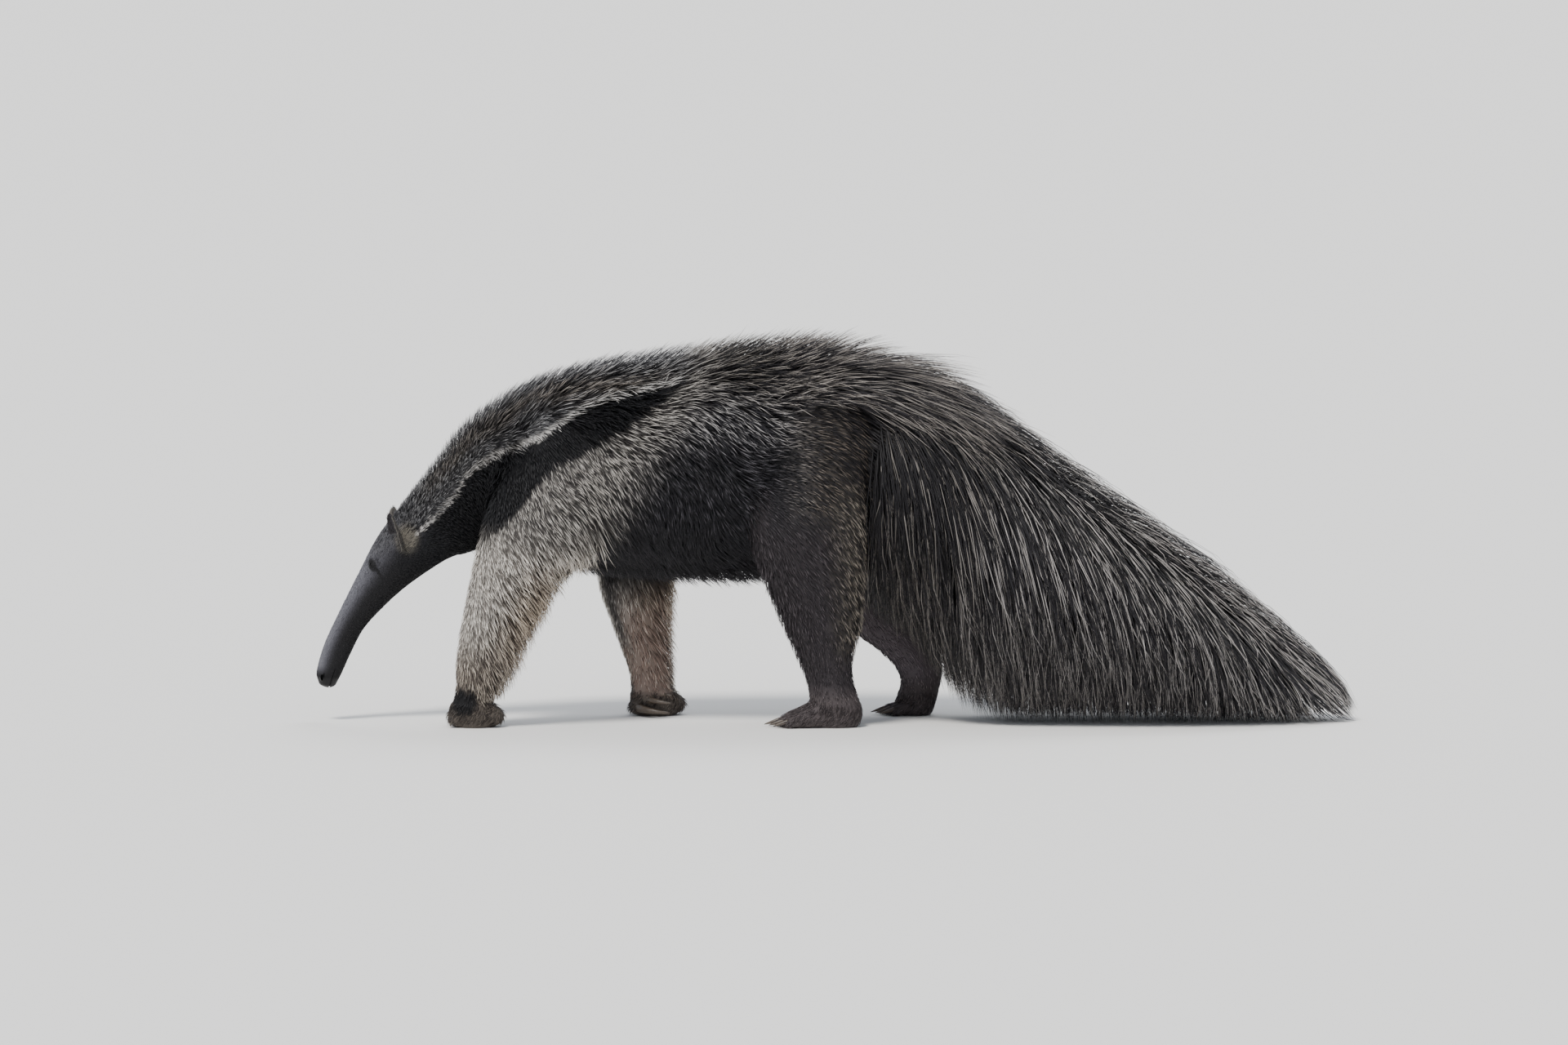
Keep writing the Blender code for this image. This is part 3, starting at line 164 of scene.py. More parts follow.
class Sleeve:
    # Rings through named stations. A place is t, the distance along the middle line (or x), and
    # an angle in degrees: 0 is the first edge, 90 is +Y, 180 the second edge.
    def __init__(self, stations, egg=0.0, byX=False, bare=False):
        self.names = list(stations)
        full = np.array([(tuple(row) + (0.0,) * 3)[:9] for row in stations.values()], float)
        middle = (full[:, 0:2] + full[:, 2:4]) / 2
        steps = np.linalg.norm(np.diff(middle, axis=0), axis=1)
        self.knots = full[:, 0] if byX else np.concatenate([[0.0], np.cumsum(steps)])
        if bare:  # the skin under the coat
            towards = unit(full[:, 0:2] - full[:, 2:4])
            full[:, 0:2] -= towards * full[:, 6:7]
            full[:, 2:4] += towards * full[:, 7:8]
            full[:, 5] -= full[:, 8]
        self.rows = full[:, :6]
        knots, rows = self.knots, self.rows
        self.slopes = np.empty_like(rows)
        self.slopes[1:-1] = (rows[2:] - rows[:-2]) / (knots[2:] - knots[:-2])[:, None]
        self.slopes[0] = (rows[1] - rows[0]) / (knots[1] - knots[0])
        self.slopes[-1] = (rows[-1] - rows[-2]) / (knots[-1] - knots[-2])
        self.egg = egg

    def place(self, name):
        return self.knots[self.names.index(name)]

    def rowsAt(self, t):
        t = np.atleast_1d(np.asarray(t, float))
        i = np.clip(np.searchsorted(self.knots, t) - 1, 0, len(self.knots) - 2)
        width = (self.knots[i + 1] - self.knots[i])[:, None]
        u = (t - self.knots[i])[:, None] / width
        return (
            self.rows[i] * (2 * u**3 - 3 * u**2 + 1)
            + self.slopes[i] * width * (u**3 - 2 * u**2 + u)
            + self.rows[i + 1] * (3 * u**2 - 2 * u**3)
            + self.slopes[i + 1] * width * (u**3 - u**2)
        )

    def middles(self, t):
        r = self.rowsAt(t)
        return np.stack([(r[:, 0] + r[:, 2]) / 2, r[:, 4], (r[:, 1] + r[:, 3]) / 2], axis=1)

    def ups(self, t):
        r = self.rowsAt(t)
        return unit(np.stack([r[:, 0] - r[:, 2], np.zeros(len(r)), r[:, 1] - r[:, 3]], axis=1))

    def alongs(self, t):
        t = np.atleast_1d(np.asarray(t, float))
        return unit(self.middles(t + 1e-4) - self.middles(t - 1e-4))

    def points(self, t, angle, grow=0.0):
        r = self.rowsAt(t)
        turn = np.radians(np.broadcast_to(angle, (len(r),)))
        half = np.hypot(r[:, 0] - r[:, 2], r[:, 1] - r[:, 3]) / 2 + grow
        side = (r[:, 5] + grow) * (1 - self.egg * np.cos(turn))
        out = self.middles(t) + self.ups(t) * (half * np.cos(turn))[:, None]
        out[:, 1] += side * np.sin(turn)
        return out

    def normals(self, t, angle):
        t = np.atleast_1d(np.asarray(t, float))
        angle = np.broadcast_to(angle, t.shape)
        around = self.points(t, angle + 1) - self.points(t, angle - 1)
        along = self.points(t + 1e-3, angle) - self.points(t - 1e-3, angle)
        out = unit(np.cross(around, along))
        outward = self.points(t, angle) - self.middles(t)
        return out * np.sign(np.sum(out * outward, axis=1))[:, None]

    def rings(self, places, sides, grow=0.0):
        angles = np.arange(sides) * 360.0 / sides
        return [self.points(np.full(sides, t), angles, grow) for t in places]


trunkEgg, tailCoatEgg, tailSkinEgg = 0.12, 0.45, 0.15
coatOf = {"trunk": Sleeve(trunkStations, trunkEgg)}
skinOf = {"trunk": Sleeve(trunkStations, trunkEgg, bare=True)}
coatOf["tail"] = Sleeve(tailCoatStations, tailCoatEgg, byX=True)
skinOf["tail"] = Sleeve(tailSkinStations, tailSkinEgg, byX=True)
for legName, stations in legStations.items():
    coatOf[legName] = Sleeve(stations)
    skinOf[legName] = Sleeve(stations, bare=True)
trunk = coatOf["trunk"]


def meshObject(name, points, faces):
    mesh = bpy.data.meshes.new(name)
    mesh.from_pydata([tuple(map(float, p)) for p in np.asarray(points) + home], [], faces)
    mesh.update()
    piece = bpy.data.objects.new(name, mesh)
    bpy.context.scene.collection.objects.link(piece)
    return piece


def closedRings(name, rings, firstTip=None, lastTip=None):
    # rings of points joined into a closed solid that faces outward
    sides, count = len(rings[0]), len(rings)
    points = [p for ring in rings for p in ring]
    faces = []
    for r in range(count - 1):
        for k in range(sides):
            a, b = r * sides + k, r * sides + (k + 1) % sides
            faces.append((a, b, b + sides, a + sides))
    for tip, base, flip in ((firstTip, 0, True), (lastTip, (count - 1) * sides, False)):
        if tip is None:
            ring = tuple(range(base, base + sides))
            faces.append(ring[::-1] if flip else ring)
            continue
        points.append(tip)
        apex = len(points) - 1
        for k in range(sides):
            pair = (base + k, base + (k + 1) % sides)
            faces.append((pair[1], pair[0], apex) if flip else (pair[0], pair[1], apex))
    centre = np.mean(points, axis=0)
    volume = 0.0
    for face in faces:
        a = points[face[0]] - centre
        for i in range(1, len(face) - 1):
            volume += np.dot(a, np.cross(points[face[i]] - centre, points[face[i + 1]] - centre))
    if volume < 0:
        faces = [face[::-1] for face in faces]
    return meshObject(name, points, faces)


def ellipsoid(name, centre, axes, radii, segments=20, rows=12):
    axes = np.array(axes)
    rings = []
    for r in range(1, rows):
        lift = math.pi * r / rows
        turns = 2 * math.pi * np.arange(segments) / segments
        local = np.stack([
            radii[0] * math.sin(lift) * np.cos(turns),
            radii[1] * math.sin(lift) * np.sin(turns),
            np.full(segments, radii[2] * math.cos(lift)),
        ], axis=1)
        rings.append(centre + local @ axes)
    return closedRings(name, rings, centre + axes[2] * radii[2], centre - axes[2] * radii[2])


def tube(name, path, radii, sides=12, closed=False, flat=1.0):
    # a tube along a path; flat squeezes it along its second direction
    path = np.array(path, float)
    count = len(path)
    radii = np.broadcast_to(radii, (count,))
    side, rings = None, []
    for i, p in enumerate(path):
        before = path[i - 1] if (i > 0 or closed) else p
        after = path[(i + 1) % count] if (i < count - 1 or closed) else p
        tangent = unit(after - before)
        if side is None:
            helper = np.array([0, 0, 1.0]) if abs(tangent[2]) < 0.9 else np.array([1.0, 0, 0])
            side = unit(np.cross(tangent, helper))
        side = unit(side - tangent * np.dot(side, tangent))
        other = np.cross(tangent, side)
        turns = 2 * math.pi * np.arange(sides)[:, None] / sides
        rings.append(p + radii[i] * (side * np.cos(turns) + other * np.sin(turns) * flat))
    if not closed:
        return closedRings(name, rings)
    points = [p for ring in rings for p in ring]
    faces = []
    for r in range(count):
        for k in range(sides):
            a, b = r * sides + k, r * sides + (k + 1) % sides
            c = ((r + 1) % count) * sides
            faces.append((a, c + k, c + (k + 1) % sides, b))
    return meshObject(name, points, faces)


def applied(piece):
    # the piece with its modifiers made real
    bpy.context.view_layer.update()
    graph = bpy.context.evaluated_depsgraph_get()
    made = bpy.data.meshes.new_from_object(piece.evaluated_get(graph))
    piece.modifiers.clear()
    old = piece.data
    piece.data = made
    bpy.data.meshes.remove(old)
    return piece


def boolean(target, operation, others):
    group = bpy.data.collections.new("others")
    bpy.context.scene.collection.children.link(group)
    for other in others:
        bpy.context.scene.collection.objects.unlink(other)
        group.objects.link(other)
    modifier = target.modifiers.new(operation, "BOOLEAN")
    modifier.operation = operation
    modifier.operand_type = "COLLECTION"
    modifier.collection = group
    modifier.solver = "MANIFOLD"
    applied(target)
    for other in others:
        bpy.data.objects.remove(other)
    bpy.data.collections.remove(group)
    return target


def melted(name, pieces, voxel, smoothing):
    # closed pieces fused into one even surface, with their crossings softened
    points, faces = [], []
    for piece in pieces:
        base = len(points)
        points += [v.co.copy() for v in piece.data.vertices]
        faces += [tuple(base + k for k in f.vertices) for f in piece.data.polygons]
        bpy.data.objects.remove(piece)
    mesh = bpy.data.meshes.new(name)
    mesh.from_pydata(points, [], faces)
    body = bpy.data.objects.new(name, mesh)
    bpy.context.scene.collection.objects.link(body)
    remesh = body.modifiers.new("melt", "REMESH")
    remesh.mode = "VOXEL"
    remesh.voxel_size = voxel
    if smoothing:
        soften = body.modifiers.new("soften", "SMOOTH")
        soften.factor = 0.5
        soften.iterations = smoothing
    return applied(body)


# The eyes, ears and mouth follow the plain model's own.
eyeShape = {"ahead": 0.016, "angle": 50.0, "slant": (0.55, 0.0, -0.83), "radius": 0.0095,
            "depth": 0.0074, "openLong": 0.0094, "openHigh": 0.0048, "rim": 0.0011,
            "lid": (0.0172, 0.0124, 0.0097), "brow": (0.022, 0.016, 0.0100)}
earShape = {"back": 0.016, "angle": 66.0, "rise": (-0.30, 0.36, 0.88),
            "facing": (-0.88, 0.46, -0.10), "length": 0.058, "halfWidth": 0.019, "cup": 0.012,
            "wall": 0.0026, "sunk": 0.014, "lean": 0.004, "corner": 0.006}
mouthShape = {"length": 0.030, "gap": 0.0009, "lip": 0.0017, "groove": 0.0055}
nostrilShape = {"angle": 62.0, "pit": (0.0050, 0.0030, 0.0062), "comma": (0.0028, 0.0015, 0.0060)}
headShape = {"sides": 76, "nearRings": 26, "farRings": 120, "voxel": 0.0014}


def eyeFrame(side):
    # the eyeball's centre, then unit vectors along the opening, across it and outward
    t = trunk.place("eye") + eyeShape["ahead"]
    out = trunk.normals(t, side * eyeShape["angle"])[0]
    along = np.array(eyeShape["slant"])
    along = unit(along - out * np.dot(along, out))
    centre = trunk.points(t, side * eyeShape["angle"])[0] - out * eyeShape["depth"]
    return centre, along, np.cross(out, along), out


def almond(side, reach, points=28):
    # the edge of the eye's opening, pointed at both corners, as rays from the eyeball's centre
    centre, along, across, out = eyeFrame(side)
    path = []
    for k in range(points):
        turn = 2 * math.pi * k / points
        long = eyeShape["openLong"] * math.cos(turn)
        high = eyeShape["openHigh"] * math.sin(turn) * abs(math.sin(turn)) ** 0.35
        level = math.sqrt(max(reach**2 - long**2 - high**2, 1e-8))
        path.append(centre + along * long + across * high + out * level)
    return path


def earFrame(side):
    t = trunk.place("ear") - earShape["back"]
    root = trunk.points(t, side * earShape["angle"])[0]
    rise = unit(np.array(earShape["rise"]) * [1, side, 1])
    facing = unit(np.array(earShape["facing"]) * [1, side, 1])
    facing = unit(facing - rise * np.dot(facing, rise))
    return root, rise, np.cross(rise, facing), facing


def earPoint(side, u, v, layer):
    # u runs across the ear from -1 to 1, v from its root to its tip, layer is its front or back
    root, rise, across, facing = earFrame(side)
    half = earShape["halfWidth"] * math.sin(math.pi * (0.22 + 0.66 * v)) ** 0.7
    sunk = earShape["sunk"]
    height = -sunk + (earShape["length"] + sunk) * v - earShape["corner"] * u * u * v
    cup = earShape["cup"] * (u * u - 1) * (1 - 0.55 * v)
    rolled = 0.003 * max(0.0, abs(u) - 0.7) / 0.3 * (1 - v)
    lean = earShape["lean"] * v * v
    place = root + rise * height + across * half * u + facing * (cup + rolled - lean)
    normal = unit(facing - across * u * 0.9)
    wall = earShape["wall"] * (1.15 - 0.45 * v)
    return place + normal * wall * layer / 2


def makeEar(side):
    columns, levels = 15, 17
    grid = []
    for layer in (1, -1):
        for j in range(levels):
            for i in range(columns):
                grid.append(earPoint(side, 2 * i / (columns - 1) - 1, j / (levels - 1), layer))
    count = columns * levels
    faces = []
    for j in range(levels - 1):
        for i in range(columns - 1):
            a = j * columns + i
            quad = (a, a + 1, a + columns + 1, a + columns)
            faces += [quad, tuple(count + k for k in reversed(quad))]
    rim = list(range(columns)) + [j * columns + columns - 1 for j in range(1, levels)]
    rim += [(levels - 1) * columns + i for i in range(columns - 2, -1, -1)]
    rim += [j * columns for j in range(levels - 2, 0, -1)]
    faces += [(b, a, count + a, count + b) for a, b in zip(rim, rim[1:] + rim[:1])]
    return meshObject("ear", grid, faces)


def mouthFrame():
    # the middle of the slit's inner end, its direction to the snout's tip, and its normal
    t = mouthShape["length"]
    inner = trunk.middles(t)[0] * 0.62 + trunk.points(t, 180)[0] * 0.38
    outer = trunk.middles(0.0)[0] * 0.66 + trunk.points(0.0, 180)[0] * 0.34
    forward = unit(outer - inner)
    return inner, forward, np.cross(forward, [0.0, 1.0, 0.0])


def nostrilFrame(side):
    t = trunk.place("nose") * 0.62
    out = trunk.normals(t, side * nostrilShape["angle"])[0]
    along = trunk.alongs(t)[0]
    along = unit(along - out * np.dot(along, out))
    place = skinOf["trunk"].points(t, side * nostrilShape["angle"])[0]
    return place, out, np.cross(out, along), along


def mouthCutters():
    # a shallow groove along each lip, joined round the front
    inner, forward, normal = mouthFrame()
    groove, reach = mouthShape["groove"], mouthShape["length"] + 0.03
    cutters = []
    for low, high, start in ((-0.05, -groove, 0.0), (groove, 0.05, 0.0),
                             (-groove - 0.002, groove + 0.002, mouthShape["length"] + 0.004)):
        corners = []
        for along in (start, reach):
            gap = mouthShape["gap"] * (0.4 + 0.5 * along / reach)
            for y, level in ((high, 1), (low, 1), (low, -1), (high, -1)):
                corners.append(inner + forward * along + np.array([0, y, 0]) + normal * gap * level)
        cutters.append(closedRings("slit", [corners[:4], corners[4:]]))
    return cutters


def makeLips(surface):
    inner, forward, normal = mouthFrame()
    lip, lips = mouthShape["lip"], []
    for level in (-1, 1):
        path, radii = [], []
        for k in range(25):
            share = 2 * k / 24 - 1
            turn = math.radians(98) * share
            ray = forward * math.cos(turn) + np.array([0.0, math.sin(turn), 0.0])
            base = inner + home + normal * level * (mouthShape["gap"] + lip * 0.8)
            hit = surface.ray_cast(Vector(base), Vector(ray))[0]
            if hit is not None:
                path.append(np.array(hit) - home - ray * lip * 0.6)
                radii.append(lip * (1 - 0.5 * share**2))
        lips.append(tube("lip", path, radii, 10))
    return lips


def earCrease(side, surface):
    # the fold that runs down and back from the ear's root
    path = []
    for share in np.linspace(0, 1, 7):
        x, z = -0.684 + 0.017 * share, 0.326 - 0.020 * share - 0.003 * math.sin(math.pi * share)
        base = np.array([x, side * 0.2, z]) + home
        hit = surface.ray_cast(Vector(base), Vector((0, -side, 0)))[0]
        path.append(np.array(hit) - home)
    return tube("crease", path, [0.0006, 0.0013, 0.0016, 0.0016, 0.0014, 0.0010, 0.0004], 8)


def makeHead():
    bare = skinOf["trunk"]
    poll = trunk.place("poll")
    places = list(np.linspace(0.0, 0.05, headShape["nearRings"]))
    places += list(np.linspace(0.053, poll + 0.010, headShape["farRings"]))
    rings = bare.rings(places, headShape["sides"])
    middle, down = bare.middles(0.0)[0], -bare.alongs(0.002)[0]
    domed = []
    for share, reach in ((0.25, 0.0062), (0.55, 0.0050), (0.78, 0.0034), (0.93, 0.0015)):
        domed.append([middle + (p - middle) * share + down * reach for p in rings[0]])
    last = bare.middles(places[-1])[0]
    shrunk = [last + (p - last) * 0.9 for p in rings[-1]]
    pieces = [closedRings("skull", domed + rings[:-1] + [shrunk], middle + down * 0.0066)]
    surface = BVHTree.FromPolygons(
        [v.co for v in pieces[0].data.vertices], [p.vertices for p in pieces[0].data.polygons]
    )
    pieces += makeLips(surface)
    for side in (1, -1):
        centre, along, across, out = eyeFrame(side)
        axes = (along, across, out)
        pieces.append(ellipsoid("lid", centre, axes, eyeShape["lid"], 28, 18))
        reach = eyeShape["radius"] + eyeShape["rim"] * 0.8
        pieces.append(tube("rim", almond(side, reach), eyeShape["rim"], 8, closed=True))
        brow = centre - along * 0.004 - out * 0.004
        pieces.append(ellipsoid("brow", brow, axes, eyeShape["brow"], 24, 14))
        pieces.append(makeEar(side))
        place, out, across, along = nostrilFrame(side)
        wing = place - out * 0.0030
        pieces.append(ellipsoid("wing", wing, (out, across, along), (0.0052, 0.0062, 0.0085)))
    head = melted("head", pieces, headShape["voxel"], 2)
    cutters = mouthCutters()
    for side in (1, -1):
        centre, along, across, out = eyeFrame(side)
        cutters.append(ellipsoid("ball", centre, (along, across, out),
                                 [eyeShape["radius"] + 0.0002] * 3, 40, 24))
        near = [centre + (p - centre) * 0.4 for p in almond(side, eyeShape["radius"])]
        far = [p + out * 0.02 for p in almond(side, eyeShape["radius"])]
        cutters.append(closedRings("opening", [near, far]))
        place, out, across, along = nostrilFrame(side)
        axes = (out, across, along)
        cutters.append(ellipsoid("nostril", place, axes, nostrilShape["pit"]))
        tail = place + along * 0.006 + across * side * 0.003
        cutters.append(ellipsoid("comma", tail, axes, nostrilShape["comma"]))
        cutters.append(earCrease(side, surface))
    boolean(head, "DIFFERENCE", cutters)
    print("head", len(head.data.polygons), "faces")
    return head


# Each digit of a forefoot, which walks on its knuckles with its claws folded in and back: its
# knuckle ahead of the sole's middle, towards the other foot and above the floor, its flesh's
# radius, then its claw's first and last heading in degrees, length and root radius.
foreDigits = (
    (-0.012, 0.029, 0.041, 0.0100, 118, 170, 0.022, 0.0036),
    (0.014, 0.026, 0.032, 0.0145, 108, 186, 0.054, 0.0068),
    (0.033, 0.014, 0.017, 0.0165, 100, 192, 0.078, 0.0085),
    (0.030, -0.018, 0.014, 0.0150, 30, 80, 0.028, 0.0042),
)
hindDigits = {"count": 5, "radius": 0.0100, "clawLength": 0.027, "clawRadius": 0.0042,
              "leftHindleg": 0.094, "rightHindleg": 0.050}
instep = ((-0.012, 0.058, 0.030), (0.030, 0.050, 0.036), (0.058, 0.036, 0.037),
          (0.086, 0.024, 0.033))
footSeam = {"leftForeleg": "wrist", "rightForeleg": "wrist", "leftHindleg": "ankle",
            "rightHindleg": "ankle"}


def arc(start, forward, inward, first, last, length, fall, steps):
    points, place = [start], start
    for i in range(steps):
        turn = math.radians(first + (last - first) * (i + 0.5) / steps)
        step = forward * math.cos(turn) + inward * math.sin(turn)
        place = place + (step + np.array([0.0, 0.0, -fall])) * length / steps
        points.append(place)
    return points


def digitPlan(name):
    # for each digit: its knuckle, its flesh's end and radius, its claw's path and root radius
    foot = coatOf[name]
    inward = np.array([0.0, -1.0 if name.startswith("right") else 1.0, 0.0])
    forward = np.array([-1.0, 0.0, 0.0])
    sole = foot.middles(foot.knots[-1])[0]
    plan = []
    if name.endswith("Foreleg"):
        for ahead, within, high, flesh, first, last, length, radius in foreDigits:
            knuckle = sole + forward * ahead + inward * within + np.array([0, 0, high])
            end = knuckle + inward * flesh * 0.3
            path = arc(end, forward, inward, first, last, length, 0.10, 16)
            plan.append((knuckle, end, flesh, path, radius))
        return plan
    for k in range(hindDigits["count"]):
        share = k / (hindDigits["count"] - 1) - 0.5
        reach = hindDigits[name] - 0.016 * abs(share) * 2
        across = inward * 0.054 * share
        knuckle = sole + forward * (reach - 0.030) + across + np.array([0, 0, 0.016])
        end = sole + forward * reach + across * 1.08 + np.array([0, 0, 0.0105])
        start = end + forward * 0.002 + np.array([0, 0, 0.002])
        length = hindDigits["clawLength"]
        path = arc(start, forward, inward, 4 * share, 4 * share, length, 0.30, 12)
        plan.append((knuckle, end, hindDigits["radius"], path, hindDigits["clawRadius"]))
    return plan


def makeFeet():
    feet = []
    for name, station in footSeam.items():
        bare = skinOf[name]
        start, end = bare.place(station) - 0.020, bare.knots[-1]
        rings = bare.rings(np.linspace(start, end, 30), 36)
        pieces = [closedRings("foot", rings)]
        for knuckle, tip, radius, _, _ in digitPlan(name):
            along = unit(tip - knuckle)
            side = unit(np.cross(along, [0.0, 0.0, 1.0]))
            axes = (side, np.cross(side, along), along)
            half = np.linalg.norm(tip - knuckle) / 2 + radius * 0.9
            pieces.append(ellipsoid("toe", (knuckle + tip) / 2, axes,
                                    (radius - 0.001, radius - 0.001, half), 20, 14))
            if name.endswith("Hindleg"):  # the pad under each toe
                pad = tip + np.array([0.004, 0.0, -0.0030])
                pieces.append(ellipsoid("pad", pad, axes, (0.0085, 0.0070, 0.011), 16, 10))
        if name == "leftHindleg":
            sole = coatOf[name].middles(coatOf[name].knots[-1])[0]
            rings = []
            for reach, high, halfWide in instep:
                turns = 2 * math.pi * np.arange(24) / 24
                ring = np.stack([np.zeros(24), (halfWide - 0.001) * np.sin(turns),
                                 (high / 2 + 0.003) * np.cos(turns)], axis=1)
                rings.append(sole + np.array([-reach, 0.0, high / 2 - 0.004]) + ring)
            pieces.append(closedRings("instep", rings))
        if name.endswith("Foreleg"):  # the big pad that carries the outer side
            sole = coatOf[name].middles(coatOf[name].knots[-1])[0]
            outward = -1.0 if name.startswith("left") else 1.0
            heel = sole + np.array([0.030, outward * 0.006, 0.020])
            pieces.append(ellipsoid("heelPad", heel, np.eye(3), (0.022, 0.026, 0.019), 24, 16))
        feet += pieces
    made = melted("feet", feet, 0.0026, 3)
    levelled = np.array([v.co for v in made.data.vertices])
    levelled[:, 2] = np.maximum(levelled[:, 2], 0.0006)
    made.data.vertices.foreach_set("co", levelled.ravel())
    print("feet", len(made.data.polygons), "faces")
    return made


def makeBody():
    bare = skinOf["trunk"]
    start, end = trunk.place("poll") - 0.002, trunk.place("dock")
    rings = bare.rings([start, start + 0.008, *np.linspace(start + 0.014, end, 90)], 64)
    middle = bare.middles(start)[0]
    rings[0] = middle + (rings[0] - middle) * 0.9
    pieces = [closedRings("torso", rings)]
    tail = skinOf["tail"]
    pieces.append(closedRings("tail", tail.rings(np.linspace(0.15, 0.905, 60), 32)))
    for name, station in footSeam.items():
        leg = skinOf[name]
        end = leg.place(station) - 0.006
        rings = leg.rings([*np.linspace(0.0, end - 0.007, 60), end], 40)
        middle = leg.middles(end)[0]
        rings[-1] = middle + (rings[-1] - middle) * 0.9
        pieces.append(closedRings(name, rings))
    made = melted("body", pieces, 0.0056, 4)
    print("body", len(made.data.polygons), "faces")
    return made


print("skin")
skin = makeBody()
boolean(skin, "UNION", [makeHead(), makeFeet()])
skin.name = skin.data.name = "skin"
print("skin", len(skin.data.polygons), "faces")


def readSkin():
    # the skin's points, their normals and its triangles, in the tables' own coordinates
    mesh = skin.data
    points, normals = np.empty(len(mesh.vertices) * 3), np.empty(len(mesh.vertices) * 3)
    mesh.vertices.foreach_get("co", points)
    mesh.vertex_normals.foreach_get("vector", normals)
    mesh.calc_loop_triangles()
    corners = np.empty(len(mesh.loop_triangles) * 3, dtype=np.int32)
    mesh.loop_triangles.foreach_get("vertices", corners)
    return points.reshape(-1, 3) - home, normals.reshape(-1, 3), corners.reshape(-1, 3)


skinPoints, skinNormals, triangles = readSkin()
skinSurface = BVHTree.FromPolygons(
    [Vector(p) for p in skinPoints], [tuple(map(int, t)) for t in triangles]
)

# Where on the animal is a point: the sleeve nearest to it, and the place and angle on that
regionNames = list(skinOf)
regionSpans = {"trunk": (0.0, trunk.place("dock")), "tail": (0.17, 0.905)}
for name in legStations:
    regionSpans[name] = (coatOf[name].place(coatOf[name].names[1]) - 0.02, coatOf[name].knots[-1])


def settled(name, p, t):
    # the place and angle on a sleeve of points, from a first guess of the place
    sleeve = skinOf[name]
    low, high = sleeve.knots[0], sleeve.knots[-1]
    for _ in range(4):
        square = np.cross(sleeve.ups(t), [0.0, 1.0, 0.0])
        off = np.sum((p - sleeve.middles(t)) * square, axis=1)
        run = (sleeve.middles(t + 1e-4) - sleeve.middles(t - 1e-4)) / 2e-4
        slope = np.sum(run * square, axis=1)
        slope = np.where(slope < 0, -1, 1) * np.maximum(np.abs(slope), 0.3)
        t = np.clip(t + np.clip(off / slope, -0.008, 0.008), low, high)
    rows, away = sleeve.rowsAt(t), p - sleeve.middles(t)
    half = np.hypot(rows[:, 0] - rows[:, 2], rows[:, 1] - rows[:, 3]) / 2
    level = np.sum(away * sleeve.ups(t), axis=1) / half
    return t, np.degrees(np.arctan2(away[:, 1] / rows[:, 5], level)) % 360


def mapPoints(p):
    spots = []
    for index, name in enumerate(regionNames):
        low, high = regionSpans[name]
        t, angle = np.meshgrid(np.arange(low, high, 0.006), np.arange(0, 360, 6.0), indexing="ij")
        t, angle = t.ravel(), angle.ravel()
        place = skinOf[name].points(t, angle)
        spots.append(np.column_stack([np.full(len(t), index), t, place]))
    spots = np.vstack(spots)
    tree = KDTree(len(spots))
    for index, spot in enumerate(spots):
        tree.insert(spot[2:5], index)
    tree.balance()
    nearest = np.array([tree.find(point)[1] for point in p])
    region, t, angle = spots[nearest, 0].astype(int), spots[nearest, 1], np.zeros(len(p))
    for index, name in enumerate(regionNames):
        chosen = region == index
        t[chosen], angle[chosen] = settled(name, p[chosen], t[chosen])
    return region, t, angle


skinRegion, skinPlace, skinAngle = mapPoints(skinPoints)


def turnOf(angle):
    return np.abs((angle + 180) % 360 - 180)


def findEars():
    # for each skin point: 0, or the side of the ear it is on, then how far up the ear
    onEar, upEar = np.zeros(len(skinPoints)), np.zeros(len(skinPoints))
    near = (skinRegion == 0) & (skinPlace > trunk.place("brow")) & (skinPlace < trunk.place("nape"))
    near &= skinPoints[:, 2] > 0.30
    index = np.flatnonzero(near)
    bare = skinOf["trunk"]
    surface = bare.points(skinPlace[index], skinAngle[index])
    normal = bare.normals(skinPlace[index], skinAngle[index])
    above = np.sum((skinPoints[index] - surface) * normal, axis=1)
    index = index[above > 0.0032]
    for side in (-1, 1):
        tree, levels = KDTree(13 * 17), []
        for j in range(17):
            for i in range(13):
                tree.insert(earPoint(side, i / 6 - 1, j / 16, 0), len(levels))
                levels.append(j / 16)
        tree.balance()
        for k in index:
            _, found, gap = tree.find(skinPoints[k])
            if gap < 0.006:
                onEar[k], upEar[k] = side, levels[found]
    return onEar, upEar


onEar, upEar = findEars()


def linear(hexColour):
    channels = np.array([int(hexColour[k:k + 2], 16) / 255 for k in (1, 3, 5)])
    return np.where(channels <= 0.04045, channels / 12.92, ((channels + 0.055) / 1.055) ** 2.4)


